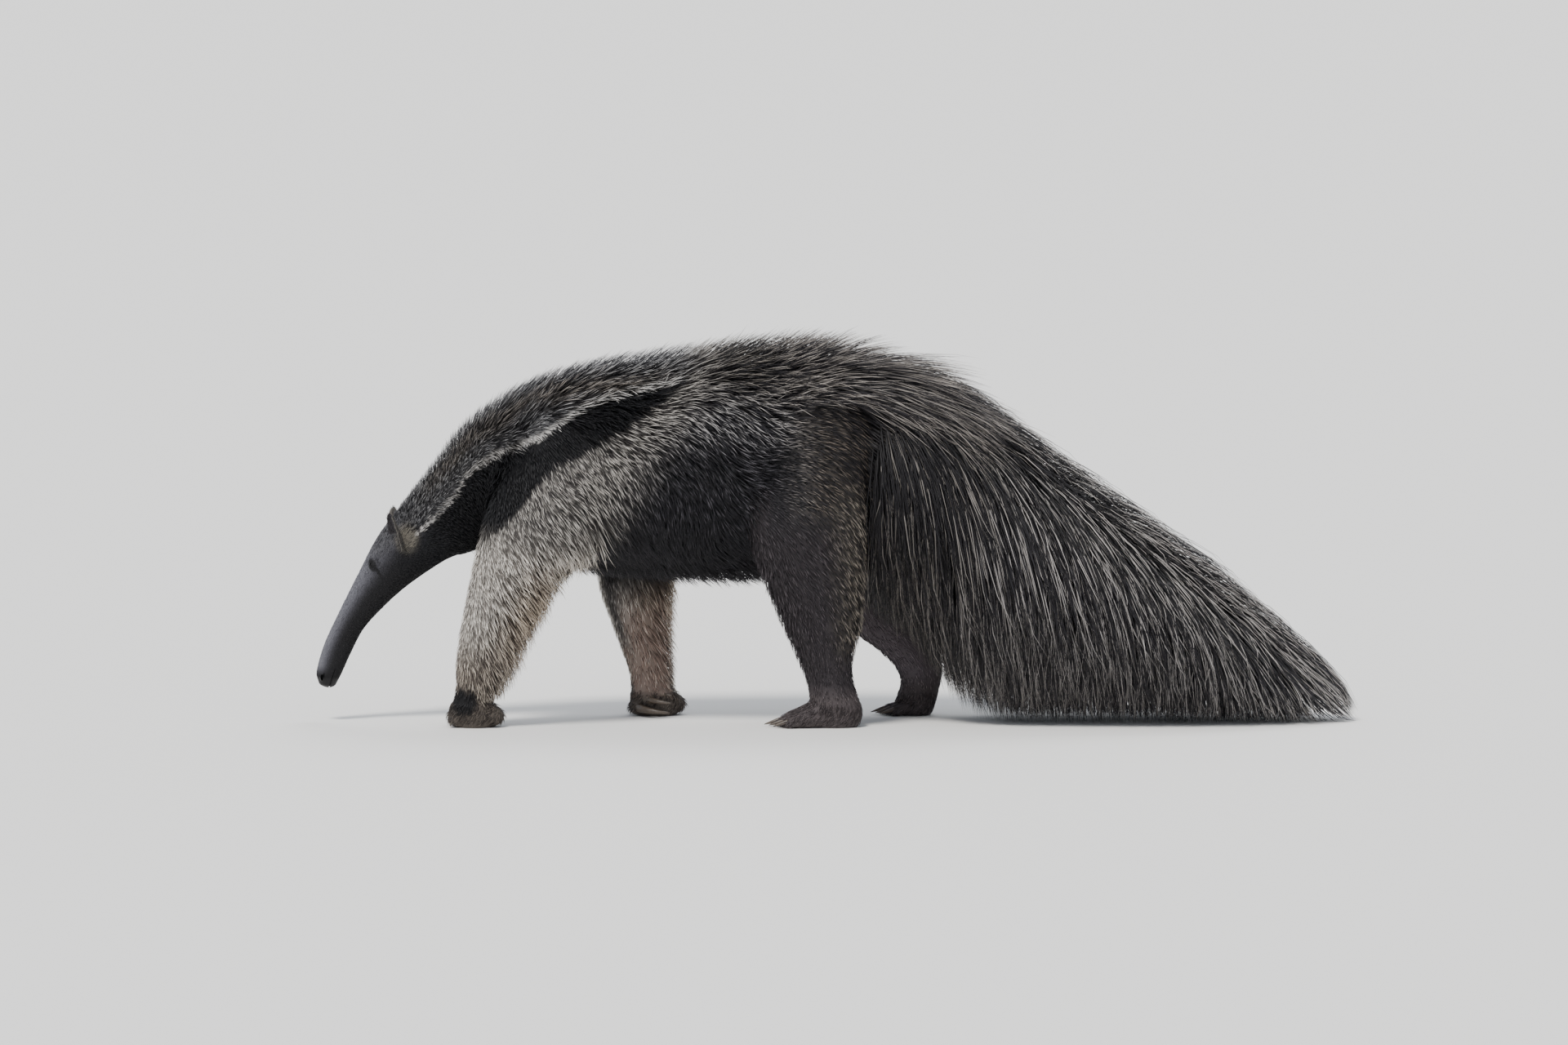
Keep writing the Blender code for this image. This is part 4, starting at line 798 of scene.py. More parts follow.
# The coat's colours, for the skin and every hair: dark hair, pale hair, share of pale ones
tones = {
    "flank": ("#2f2e32", "#bcb8b6", 0.46),
    "flankLow": ("#1b1a1e", "#58555a", 0.22),
    "belly": ("#1b1a1e", "#3a383c", 0.14),
    "crest": ("#1d1b1d", "#7e776f", 0.38),
    "crestRear": ("#292629", "#a69e96", 0.47),
    "haunch": ("#211e20", "#8a7e72", 0.34),
    "pale": ("#3c3837", "#c6c0b8", 0.66),
    "wedge": ("#101013", "#1c1b20", 0.06),
    "whiteLine": ("#75716e", "#e2ded9", 0.90),
    "neck": ("#232124", "#afaeae", 0.46),
    "neckStreak": ("#2e2926", "#9c9083", 0.50),
    "forehead": ("#201f22", "#666568", 0.46),
    "snoutTop": ("#4a494f", "#6f6f75", 0.55),
    "snoutSide": ("#2c2b2f", "#3f3e44", 0.40),
    "snoutLow": ("#100f11", "#19181a", 0.10),
    "noseTip": ("#0c0b0d", "#151315", 0.10),
    "eyeRim": ("#0d0c0e", "#171518", 0.10),
    "earPatch": ("#35322e", "#7a7469", 0.50),
    "earInside": ("#2c292c", "#454144", 0.20),
    "earBack": ("#2c2a29", "#6d6862", 0.50),
    "earRim": ("#57534c", "#9b958a", 0.75),
    "foreleg": ("#6a645e", "#ebe4da", 0.80),
    "forelegRear": ("#584c42", "#cdbda9", 0.72),
    "forelegLow": ("#544b45", "#c2b6a7", 0.64),
    "inner": ("#9a8276", "#c9b7ab", 0.35),
    "wristPatch": ("#0f0e10", "#171618", 0.04),
    "forefoot": ("#37302c", "#94897e", 0.46),
    "hindleg": ("#2f2a2d", "#645c5f", 0.24),
    "hindInner": ("#635a5f", "#9b9195", 0.28),
    "hindEdge": ("#302c2a", "#bcb0a1", 0.46),
    "hindfoot": ("#352e2f", "#8a7f7f", 0.40),
    "tailFrontShade": ("#1c1a1c", "#78726c", 0.18),
    "tailUpper": ("#1e1c1e", "#a8a29d", 0.32),
    "tailLower": ("#232124", "#989390", 0.28),
    "tailEnd": ("#323033", "#bab4af", 0.46),
}
toneValues = {
    name: (linear(dark), linear(light), share) for name, (dark, light, share) in tones.items()
}
# The white line from the ear to the flank, the black wedge's lower edge, and where the pale
# shoulder ends behind, as (x, z)
whiteLine = np.array([
    (-0.675, 0.318), (-0.660, 0.329), (-0.619, 0.364), (-0.579, 0.407), (-0.563, 0.441),
    (-0.526, 0.470), (-0.490, 0.488), (-0.429, 0.512), (-0.389, 0.539), (-0.347, 0.567),
    (-0.306, 0.583), (-0.265, 0.593), (-0.225, 0.603), (-0.168, 0.618),
])
wedgeEdge = np.array([
    (-0.545, 0.300), (-0.537, 0.318), (-0.486, 0.364), (-0.429, 0.432), (-0.400, 0.461),
    (-0.347, 0.486), (-0.306, 0.510), (-0.270, 0.531), (-0.238, 0.558), (-0.204, 0.583),
    (-0.160, 0.618),
])
paleEnd = np.array([(-0.282, 0.274), (-0.246, 0.361), (-0.178, 0.477), (-0.070, 0.608)])


def coatTone(region, t, angle, p, normal):
    # dark hair's colour, pale hair's colour and the share of pale hairs at each point
    x, z = p[:, 0], p[:, 2]
    count = len(x)
    dark, light, share = np.zeros((count, 3)), np.zeros((count, 3)), np.zeros(count)

    def paint(name, weight):
        tone = toneValues[name]
        weight = np.clip(np.broadcast_to(weight, (count,)), 0, 1)
        dark[:] += (tone[0] - dark) * weight[:, None]
        light[:] += (tone[1] - light) * weight[:, None]
        share[:] += (tone[2] - share) * weight

    if region == "tail":
        turn = turnOf(angle)
        paint("tailLower", 1.0)
        paint("tailUpper", smooth(turn, 100, 46))
        # painted shade: the tail's sides next to the haunch darker, where the haunch shades them
        paint("tailFrontShade", smooth(x, 0.36, 0.24) * smooth(turn, 20, 60) * 0.9)
        paint("tailEnd", smooth(x, 0.72, 0.90) * 0.8)
        return dark, light, share

    onTrunk = region == "trunk"
    turn = turnOf(angle) if onTrunk else np.full(count, 80.0)
    place = t if onTrunk else np.full(count, trunk.place("shoulder"))
    lineZ = np.interp(x, whiteLine[:, 0], whiteLine[:, 1]) + 0.0015
    edgeZ = np.interp(x, wedgeEdge[:, 0], wedgeEdge[:, 1])
    endX = np.interp(z, paleEnd[:, 1], paleEnd[:, 0])
    ear, poll, brow, eye = (trunk.place(key) for key in ("ear", "poll", "brow", "eye"))
    paint("flank", 1.0)
    paint("flankLow", smooth(z, 0.555, 0.465) * smooth(x, 0.06, 0.00))
    paint("haunch", smooth(x, -0.03, 0.08) * smooth(z, 0.62, 0.54))
    paint("belly", smooth(z, 0.40, 0.31))
    paint("crest", smooth(turn, 50, 30))
    paint("crestRear", smooth(turn, 62, 44) * smooth(x, -0.10, 0.04))
    paint("pale", smooth(x - endX, 0.02, -0.11) * smooth(x, -0.60, -0.54) * smooth(turn, 150, 120))
    paint("belly", smooth(x, -0.50, -0.44) * smooth(z, 0.36, 0.30))
    paint("neck", smooth(z - lineZ, 0.0, 0.01) * smooth(x, -0.13, -0.20))
    streak = np.exp(-(((turn - 30) / 9) ** 2)) * smooth(x, -0.16, -0.24)
    paint("neckStreak", streak * 0.8 * smooth(place, poll, poll + 0.06))
    below = smooth(lineZ - z, -0.001, 0.004)
    above = np.where(x < -0.545, 1.0, smooth(z - edgeZ, -0.005, 0.005))
    paint("wedge", below * above * smooth(x, -0.155, -0.175))
    paint("wedge", smooth(turn, 150, 162) * smooth(x, -0.42, -0.50))
    width = np.interp(x, [-0.66, -0.60, -0.40, -0.20, -0.165],
                      [0.0035, 0.0056, 0.0060, 0.0066, 0.002])
    stroke = 0.30 * np.sin((x * 0.8 + z * 0.6) * 520) + 0.20 * np.sin((x * 0.7 + z * 0.7) * 930)
    onLine = smooth(np.abs(z - lineZ) / width + stroke, 1.3, 0.7) * smooth(x, -0.665, -0.645)
    onLine = onLine * smooth(turn, 20, 30) * (x < -0.165)
    if not onTrunk:
        paint("whiteLine", onLine)
        paintLeg(paint, region, angle, x, z)
        return dark, light, share
    paint("forehead", smooth(t, poll + 0.012, ear + 0.01))
    # the snout is painted lighter along its top and darker down its sides and underneath: partly the coat's
    # own colour, partly painted light and shade
    paint("snoutTop", smooth(t, brow + 0.01, eye - 0.02))
    paint("snoutSide", smooth(turn, 26, 80) * smooth(t, ear, brow))
    paint("snoutLow", smooth(turn, 58, 98) * smooth(t, ear + 0.02, ear - 0.02))
    cheek = smooth(turn, 62, 92) * smooth(t, poll + 0.05, ear)
    paint("wedge", cheek * smooth(t, eye, ear))
    paint("whiteLine", onLine)
    patch = np.hypot((x + 0.667) / 0.024, (z - 0.330) / 0.030)
    paint("earPatch", smooth(patch, 1.25, 0.40) * smooth(turn, 28, 46) * (t < poll - 0.010))
    centre, slant, across, _ = eyeFrame(-1)
    near = p * np.where(p[:, 1:2] > 0, [1, -1, 1], [1, 1, 1]) - centre
    onLids = np.hypot(near @ slant / 0.0128, near @ across / 0.0075)
    paint("eyeRim", smooth(onLids, 1.25, 0.85) * 0.9)
    # painted shade: a dark line running down and back from the eye, the shade of a fold in the skin
    foldShadeGap = np.abs(near[:, 0] + near[:, 2] * 0.62)
    run = smooth(-near[:, 2], 0.0, 0.006) * smooth(-near[:, 2], 0.032, 0.020)
    paint("eyeRim", smooth(foldShadeGap, 0.0050, 0.0015) * run * smooth(turn, 30, 44) * 0.9)
    paint("noseTip", smooth(t, 0.034, 0.012))
    return dark, light, share


def paintLeg(paint, region, angle, x, z):
    left = region.startswith("left")
    turn = turnOf(angle)
    inward = smooth(np.sin(np.radians(angle)) * (1 if left else -1), 0.1, 0.7)
    low = smooth(z, 0.40, 0.32)
    if region.endswith("Foreleg"):
        paint("foreleg", smooth(z, 0.37, 0.29))
        paint("forelegRear", smooth(turn, 75, 125) * smooth(z, 0.32, 0.22))
        paint("forelegLow", smooth(z, 0.19, 0.08))
        # painted shade: the inner side of each foreleg darkened along its front and over its upper part,
        # where the body shades it
        paint("flankLow", inward * smooth(turn, 75, 40) * smooth(z, 0.08, 0.17) * 0.7)
        paint("belly", inward * smooth(z, 0.18, 0.27) * 0.95)
        bare = np.maximum(smooth(turn, 40, 80), smooth(z, 0.15, 0.08))
        paint("inner", inward * smooth(z, 0.24, 0.15) * bare * 0.85)
        paint("forefoot", smooth(z, 0.050, 0.030))
        sole = coatOf[region].middles(coatOf[region].knots[-1])[0]
        spot = np.hypot((x - sole[0] + 0.020) / 0.026, (z - 0.045) / 0.023)
        spot += 0.10 * np.sin(x * 340 + z * 160) + 0.08 * np.sin(z * 480 - x * 120)
        paint("wristPatch", smooth(spot, 1.30, 0.65) * smooth(turn, 125, 95) * (1 - inward))
        return
    paint("hindleg", np.maximum(low, smooth(turn, 70, 40) * smooth(z, 0.46, 0.38)))
    paint("hindInner", inward * smooth(z, 0.44, 0.30))
    paint("hindEdge", smooth(turn, 95, 145) * smooth(z, 0.47, 0.36) * smooth(z, 0.10, 0.17)
          * (1 - inward * 0.7))
    paint("hindfoot", smooth(z, 0.085, 0.045))


# How the hair lies, seen from the side: degrees below straight back at each (x, z)
lieTable = np.array([
    (-0.812, 0.100, -65), (-0.754, 0.245, -62), (-0.710, 0.339, -58), (-0.667, 0.361, -52),
    (-0.638, 0.274, -30), (-0.580, 0.332, 10), (-0.522, 0.419, 50), (-0.580, 0.361, 30),
    (-0.609, 0.289, -10), (-0.638, 0.434, -48), (-0.580, 0.535, -42), (-0.493, 0.622, -30),
    (-0.377, 0.651, -20), (-0.232, 0.673, -10), (-0.551, 0.463, -30), (-0.464, 0.535, -30),
    (-0.377, 0.579, -20), (-0.522, 0.455, 62), (-0.449, 0.492, 62), (-0.377, 0.528, 60),
    (-0.290, 0.579, 38), (-0.203, 0.602, 15), (-0.159, 0.619, 8), (-0.493, 0.390, 75),
    (-0.435, 0.448, 75), (-0.348, 0.506, 65), (-0.261, 0.564, 40), (-0.189, 0.600, 12),
    (-0.197, 0.592, -14), (-0.228, 0.561, 2), (-0.248, 0.536, 20), (-0.278, 0.521, 32),
    (-0.299, 0.496, 42), (-0.238, 0.468, 57), (-0.258, 0.428, 60), (-0.278, 0.367, 68),
    (-0.197, 0.525, 46), (-0.177, 0.560, 45), (-0.146, 0.574, 45), (-0.136, 0.529, 53),
    (-0.197, 0.377, 80), (-0.157, 0.357, 88), (-0.116, 0.448, 65), (-0.075, 0.590, 40),
    (-0.065, 0.539, 48), (-0.035, 0.590, 18), (-0.014, 0.625, 8), (-0.065, 0.458, 15),
    (-0.025, 0.438, 5), (-0.035, 0.377, 40), (0.067, 0.660, 0), (0.128, 0.639, 12),
    (0.006, 0.579, 10), (0.026, 0.538, 8), (0.057, 0.503, 15), (0.077, 0.487, 25),
    (0.087, 0.426, 38), (0.117, 0.436, 43), (0.138, 0.406, 55), (0.158, 0.376, 60),
    (-0.035, 0.477, 5), (-0.014, 0.416, 15), (-0.055, 0.396, 42), (-0.391, 0.423, 46),
    (-0.296, 0.473, 50), (-0.336, 0.402, 54), (-0.391, 0.361, 60), (-0.464, 0.347, 62),
    (-0.439, 0.249, 56), (-0.518, 0.302, 66), (-0.545, 0.197, 72), (-0.465, 0.144, 58),
    (-0.492, 0.075, 64), (-0.333, 0.328, 66), (-0.318, 0.286, 76), (-0.551, 0.071, 80),
    (-0.420, 0.173, 50), (-0.319, 0.187, 76), (-0.261, 0.216, 76), (-0.203, 0.187, 68),
    (-0.232, 0.071, 80), (0.000, 0.303, 60), (-0.029, 0.361, 50), (0.058, 0.303, 50),
    (0.116, 0.274, 60), (0.029, 0.187, 70), (0.072, 0.100, 80), (0.116, 0.347, 58),
    (0.203, 0.129, 50), (0.246, 0.057, 80), (-0.116, 0.289, 35), (-0.159, 0.274, 60),
    (-0.232, 0.289, 76), (-0.087, 0.274, 45), (0.174, 0.600, 36), (0.203, 0.535, 50),
    (0.240, 0.580, 44), (0.250, 0.480, 60), (0.190, 0.450, 64),
])


def lieAt(p, normal):
    # the direction a hair grows in, in the skin's surface
    gap = (p[:, 0:1] - lieTable[:, 0]) ** 2 + (p[:, 2:3] - lieTable[:, 1]) ** 2
    weight = 1 / (gap + 0.02**2) ** 2
    turn = np.radians(lieTable[:, 2])
    flow = unit(np.stack([weight @ np.cos(turn), np.zeros(len(p)), -(weight @ np.sin(turn))],
                         axis=1))
    toes = smooth(p[:, 2], 0.055, 0.030)[:, None]  # over the toes it runs forward and down
    flow = flow * (1 - toes) + np.array([-0.62, 0.0, -0.78]) * toes
    flow[:, 1] += np.sign(p[:, 1]) * 0.16 * smooth(p[:, 2], 0.50, 0.60)
    return unit(flow - normal * np.sum(flow * normal, axis=1)[:, None] * 0.999)


def bezier(root, bendA, bendB, tip, u):
    v = 1 - u
    place = v**3 * root + 3 * v * v * u * bendA + 3 * v * u * u * bendB + u**3 * tip
    tangent = 3 * v * v * (bendA - root) + 6 * v * u * (bendB - bendA) + 3 * u * u * (tip - bendB)
    return place, unit(tangent)


strandForm = {"sink": 0.0015, "thick": 0.42, "floor": 0.0012}


def strandMesh(name, patches):
    # one piece of coat from its patches of strands, with colours and the bake's map
    points, colours, faces, maps, base = [], [], [], [], 0
    for patch in patches:
        root, tip = patch["root"], patch["tip"]
        count, rings = len(root), patch["rings"]
        length = np.linalg.norm(tip - root, axis=1)[:, None]
        lift = patch["arch"] * length
        bendA = root + (tip - root) * 0.35 + patch["rootOut"] * lift + patch["sway"] * 0.6
        bendB = root + (tip - root) * 0.70 + patch["sway"]
        bendB += unit(patch["rootOut"] + patch["tipOut"]) * lift
        spots, tones = [], []
        for i in range(rings):
            u = (i / rings) ** 0.9
            place, tangent = bezier(root, bendA, bendB, tip, u)
            side = unit(np.cross(tangent, patch["rootOut"] * (1 - u) + patch["tipOut"] * u))
            out = np.cross(side, tangent)
            full = (0.70 + 0.30 * min(1.0, 3 * u)) * (1 - u ** patch["taper"])
            half = (patch["width"] / 2 * full)[:, None]
            thick = half * 2 * strandForm["thick"]
            place[:, 2] = np.maximum(place[:, 2], strandForm["floor"] + half[:, 0])
            spots += [place + side * half - out * thick * 0.4,
                      place - side * half - out * thick * 0.4,
                      place + out * thick * 0.6]
            tone = patch["colour"](u)
            tones += [tone, tone, tone]
        end = tip.copy()
        end[:, 2] = np.maximum(end[:, 2], strandForm["floor"])
        spots.append(end)
        tones.append(patch["colour"](1.0))
        per = 3 * rings + 1
        points.append(np.stack(spots, axis=1).reshape(-1, 3))
        colours.append(np.stack(tones, axis=1).reshape(-1, 3))
        shape = [(0, 2, 1)]
        for i in range(rings - 1):
            for k in range(3):
                a, b = 3 * i + k, 3 * i + (k + 1) % 3
                shape += [(a, b, b + 3), (a, b + 3, a + 3)]
        last = 3 * (rings - 1)
        shape += [(last + k, last + (k + 1) % 3, per - 1) for k in range(3)]
        shape = np.array(shape)
        starts = base + np.arange(count) * per
        faces.append((starts[:, None, None] + shape[None]).reshape(-1, 3))
        # each strand's patch of the bake's map: across is its sides, along is its length
        level = np.array([i / rings for i in range(rings) for _ in range(3)] + [1.0])
        column = np.array([k / 3 for _ in range(rings) for k in range(3)] + [0.5])
        corners = np.stack([column[shape], level[shape]], axis=2).reshape(1, -1, 2)
        place = patch["map"][:, None, :] + (corners - 0.5) * 0.003
        maps.append(place.reshape(-1, 2))
        base += count * per
    points, colours = np.vstack(points) + home, np.vstack(colours)
    faces, maps = np.vstack(faces), np.vstack(maps)
    mesh = bpy.data.meshes.new(name)
    mesh.vertices.add(len(points))
    mesh.vertices.foreach_set("co", points.astype(np.float32).ravel())
    mesh.loops.add(len(faces) * 3)
    mesh.loops.foreach_set("vertex_index", faces.astype(np.int32).ravel())
    mesh.polygons.add(len(faces))
    mesh.polygons.foreach_set("loop_start", np.arange(len(faces), dtype=np.int32) * 3)
    mesh.polygons.foreach_set("use_smooth", np.ones(len(faces), bool))
    mesh.update(calc_edges=True)
    tint = mesh.color_attributes.new("coat", "FLOAT_COLOR", "POINT")
    rgba = np.column_stack([colours, np.ones(len(colours))]).astype(np.float32)
    tint.data.foreach_set("color", rgba.ravel())
    layer = mesh.uv_layers.new(name="OFBake")
    layer.uv.foreach_set("vector", maps.astype(np.float32).ravel())
    piece = bpy.data.objects.new(name, mesh)
    bpy.context.scene.collection.objects.link(piece)
    print(name, len(faces), "triangles")
    return piece


def clumped(root, tip, every, pull, dice):
    # tips drawn together into small locks, each round one hair
    count = len(root)
    guides = dice.choice(count, max(1, count // every), replace=False)
    tree = KDTree(len(guides))
    for index, guide in enumerate(guides):
        tree.insert(root[guide], index)
    tree.balance()
    owner = guides[[tree.find(p)[1] for p in root]]
    aim = tip[owner] + (root - root[owner]) * 0.25
    strength = pull * dice.uniform(0.4, 1.3, count)[:, None]
    return tip + (aim - tip) * np.clip(strength, 0, 0.95)


def strandColour(tone, shade, pale, band, keep=slice(None), roots=0.40):
    # painted shade darkens each hair towards its root, standing for the shade deep in the coat; then each
    # hair's own tone from the band on
    dark, light = tone
    body = dark * shade
    tip = np.where(pale[:, None], light * shade, dark * shade * 1.15)

    def colour(u):
        grown = smooth(np.full(1, u), band[0], band[1])[0]
        # painted shade, deepest at the root and gone by the hair's middle
        depthShade = roots + (1 - roots) * min(1.0, u * 2.0)
        return (body * (1 - grown) * depthShade + tip * grown)[keep]

    return colour


# The zones of the coat. Pitch is the hairs' spacing, base and perDepth give their length from
# the coat's depth, height is the share of that depth they rise to, thin the share of hairs kept.
legZone = {"width": 0.0018, "rings": 3, "base": 0.012, "perDepth": 1.15, "clump": (6, 0.36)}
zones = {
    # painted light: the face's hairs are made lighter, 1.22 times on average, to offset the shade on their
    # sides and under them
    "faceFur": {"pitch": 0.0023, "width": 0.0011, "rings": 2, "base": 0.0078, "perDepth": 1.0,
                "height": (0.10, 0.55), "stray": 7, "band": (0.1, 0.6), "roots": 1.0,
                "shade": (1.22, 0.08)},
    "earFur": {"pitch": 0.0020, "width": 0.0009, "rings": 2, "base": 0.0062, "perDepth": 0.0,
               "height": (0.3, 0.9), "stray": 9, "band": (0.1, 0.7), "roots": 0.9},
    "footFur": {"pitch": 0.0031, "width": 0.0016, "rings": 2, "base": 0.0150, "perDepth": 0.8,
                "height": (0.5, 1.2), "stray": 13, "band": (0.4, 0.9), "roots": 0.55},
    "neckHair": {"pitch": 0.0034, "width": 0.0016, "rings": 2, "base": 0.010, "perDepth": 1.20,
                 "height": (0.80, 1.35), "stray": 9, "band": (0.45, 0.85), "clump": (4, 0.2)},
    "crestHair": {"pitch": 0.0046, "width": 0.0020, "rings": 4, "base": 0.018, "perDepth": 1.50,
                  "height": (0.80, 1.34), "stray": 13, "band": (0.40, 0.80), "clump": (5, 0.40)},
    "leftFlankHair": {"pitch": 0.0043, "width": 0.0020, "rings": 3, "base": 0.016,
                      "perDepth": 1.20, "height": (0.45, 1.20), "stray": 9, "band": (0.35, 0.75),
                      "clump": (5, 0.28)},
    "bellyHair": {"pitch": 0.0051, "width": 0.0018, "rings": 3, "base": 0.028, "perDepth": 1.2,
                  "height": (0.5, 1.15), "rise": 0.018, "stray": 20, "band": (0.3, 0.8), "clump": (3, 0.2)},
    "leftForelegHair": {**legZone, "pitch": 0.0042, "height": (0.35, 1.0), "stray": 9,
                        "band": (0.25, 0.70)},
    "leftHindlegHair": {**legZone, "pitch": 0.0050, "height": (0.35, 1.0), "stray": 8,
                        "band": (0.50, 0.85), "width": 0.0020, "clump": (5, 0.25)},
}
for name in ("FlankHair", "ForelegHair", "HindlegHair"):
    zones[f"right{name}"] = zones[f"left{name}"]
zoneNames = list(zones)


def assignZones():
    # each triangle's zone, or -1 where the skin is bare
    first = triangles[:, 0]
    region, t, angle = skinRegion[first], skinPlace[first], skinAngle[first]
    p, normal = skinPoints[first], skinNormals[first]
    turn, zone = turnOf(angle), np.full(len(first), -1)
    ear, withers = trunk.place("ear") + 0.012, trunk.place("withers")
    onTrunk = region == 0
    left = p[:, 1] < 0

    def give(name, where):
        zone[where] = zoneNames.index(name)

    give("faceFur", onTrunk & (t < ear))
    give("neckHair", onTrunk & (t >= ear) & (t < withers))
    rear = onTrunk & (t >= withers)
    give("crestHair", rear & (turn < 45))
    give("leftFlankHair", rear & (turn >= 45) & (turn < 150) & left)
    give("rightFlankHair", rear & (turn >= 45) & (turn < 150) & ~left)
    give("bellyHair", rear & (turn >= 150))
    for index, name in enumerate(regionNames):
        if name.endswith("leg"):
            give(f"{name}Hair", region == index)
    give("footFur", (region != 0) & (p[:, 2] < 0.050))
    zone[onTrunk & (p[:, 2] < 0.13) & (t > withers)] = -1
    zone[(p[:, 2] < 0.012) & (normal[:, 2] < -0.3)] = -1  # soles
    zone[(p[:, 2] < 0.004)] = -1
    give("earFur", onEar[first] != 0)
    head = onTrunk & (t < trunk.place("poll"))
    surface = skinOf["trunk"].points(t[head], angle[head])
    out = skinOf["trunk"].normals(t[head], angle[head])
    sunk = np.sum((p[head] - surface) * out, axis=1) < -0.0014
    zone[np.flatnonzero(head)[sunk]] = -1
    zone[onTrunk & (t < 0.011)] = -1
    for side in (-1, 1):
        gone = np.linalg.norm(p - eyeFrame(side)[0], axis=1) < 0.0096
        gone |= np.linalg.norm(p - nostrilFrame(side)[0], axis=1) < 0.0085
        zone[gone] = -1
    inner, forward, normalM = mouthFrame()
    ahead, level = (p - inner) @ forward, np.abs((p - inner) @ normalM)
    zone[onTrunk & (ahead > -0.001) & (level < 0.0022)] = -1
    return zone


triangleZone = assignZones()
edges = skinPoints[triangles[:, 1]] - skinPoints[triangles[:, 0]]
others = skinPoints[triangles[:, 2]] - skinPoints[triangles[:, 0]]
triangleArea = np.linalg.norm(np.cross(edges, others), axis=1) / 2


def thinness(region, t, angle, p):
    # the share of hairs kept: few on the bare inner forearm
    keep = np.ones(len(p))
    name = regionNames[region]
    if name.endswith("Foreleg"):
        inward = smooth(np.sin(np.radians(angle)) * (1 if name.startswith("left") else -1), 0.3, 0.8)
        keep -= inward * smooth(p[:, 2], 0.34, 0.26) * 0.55
    return keep


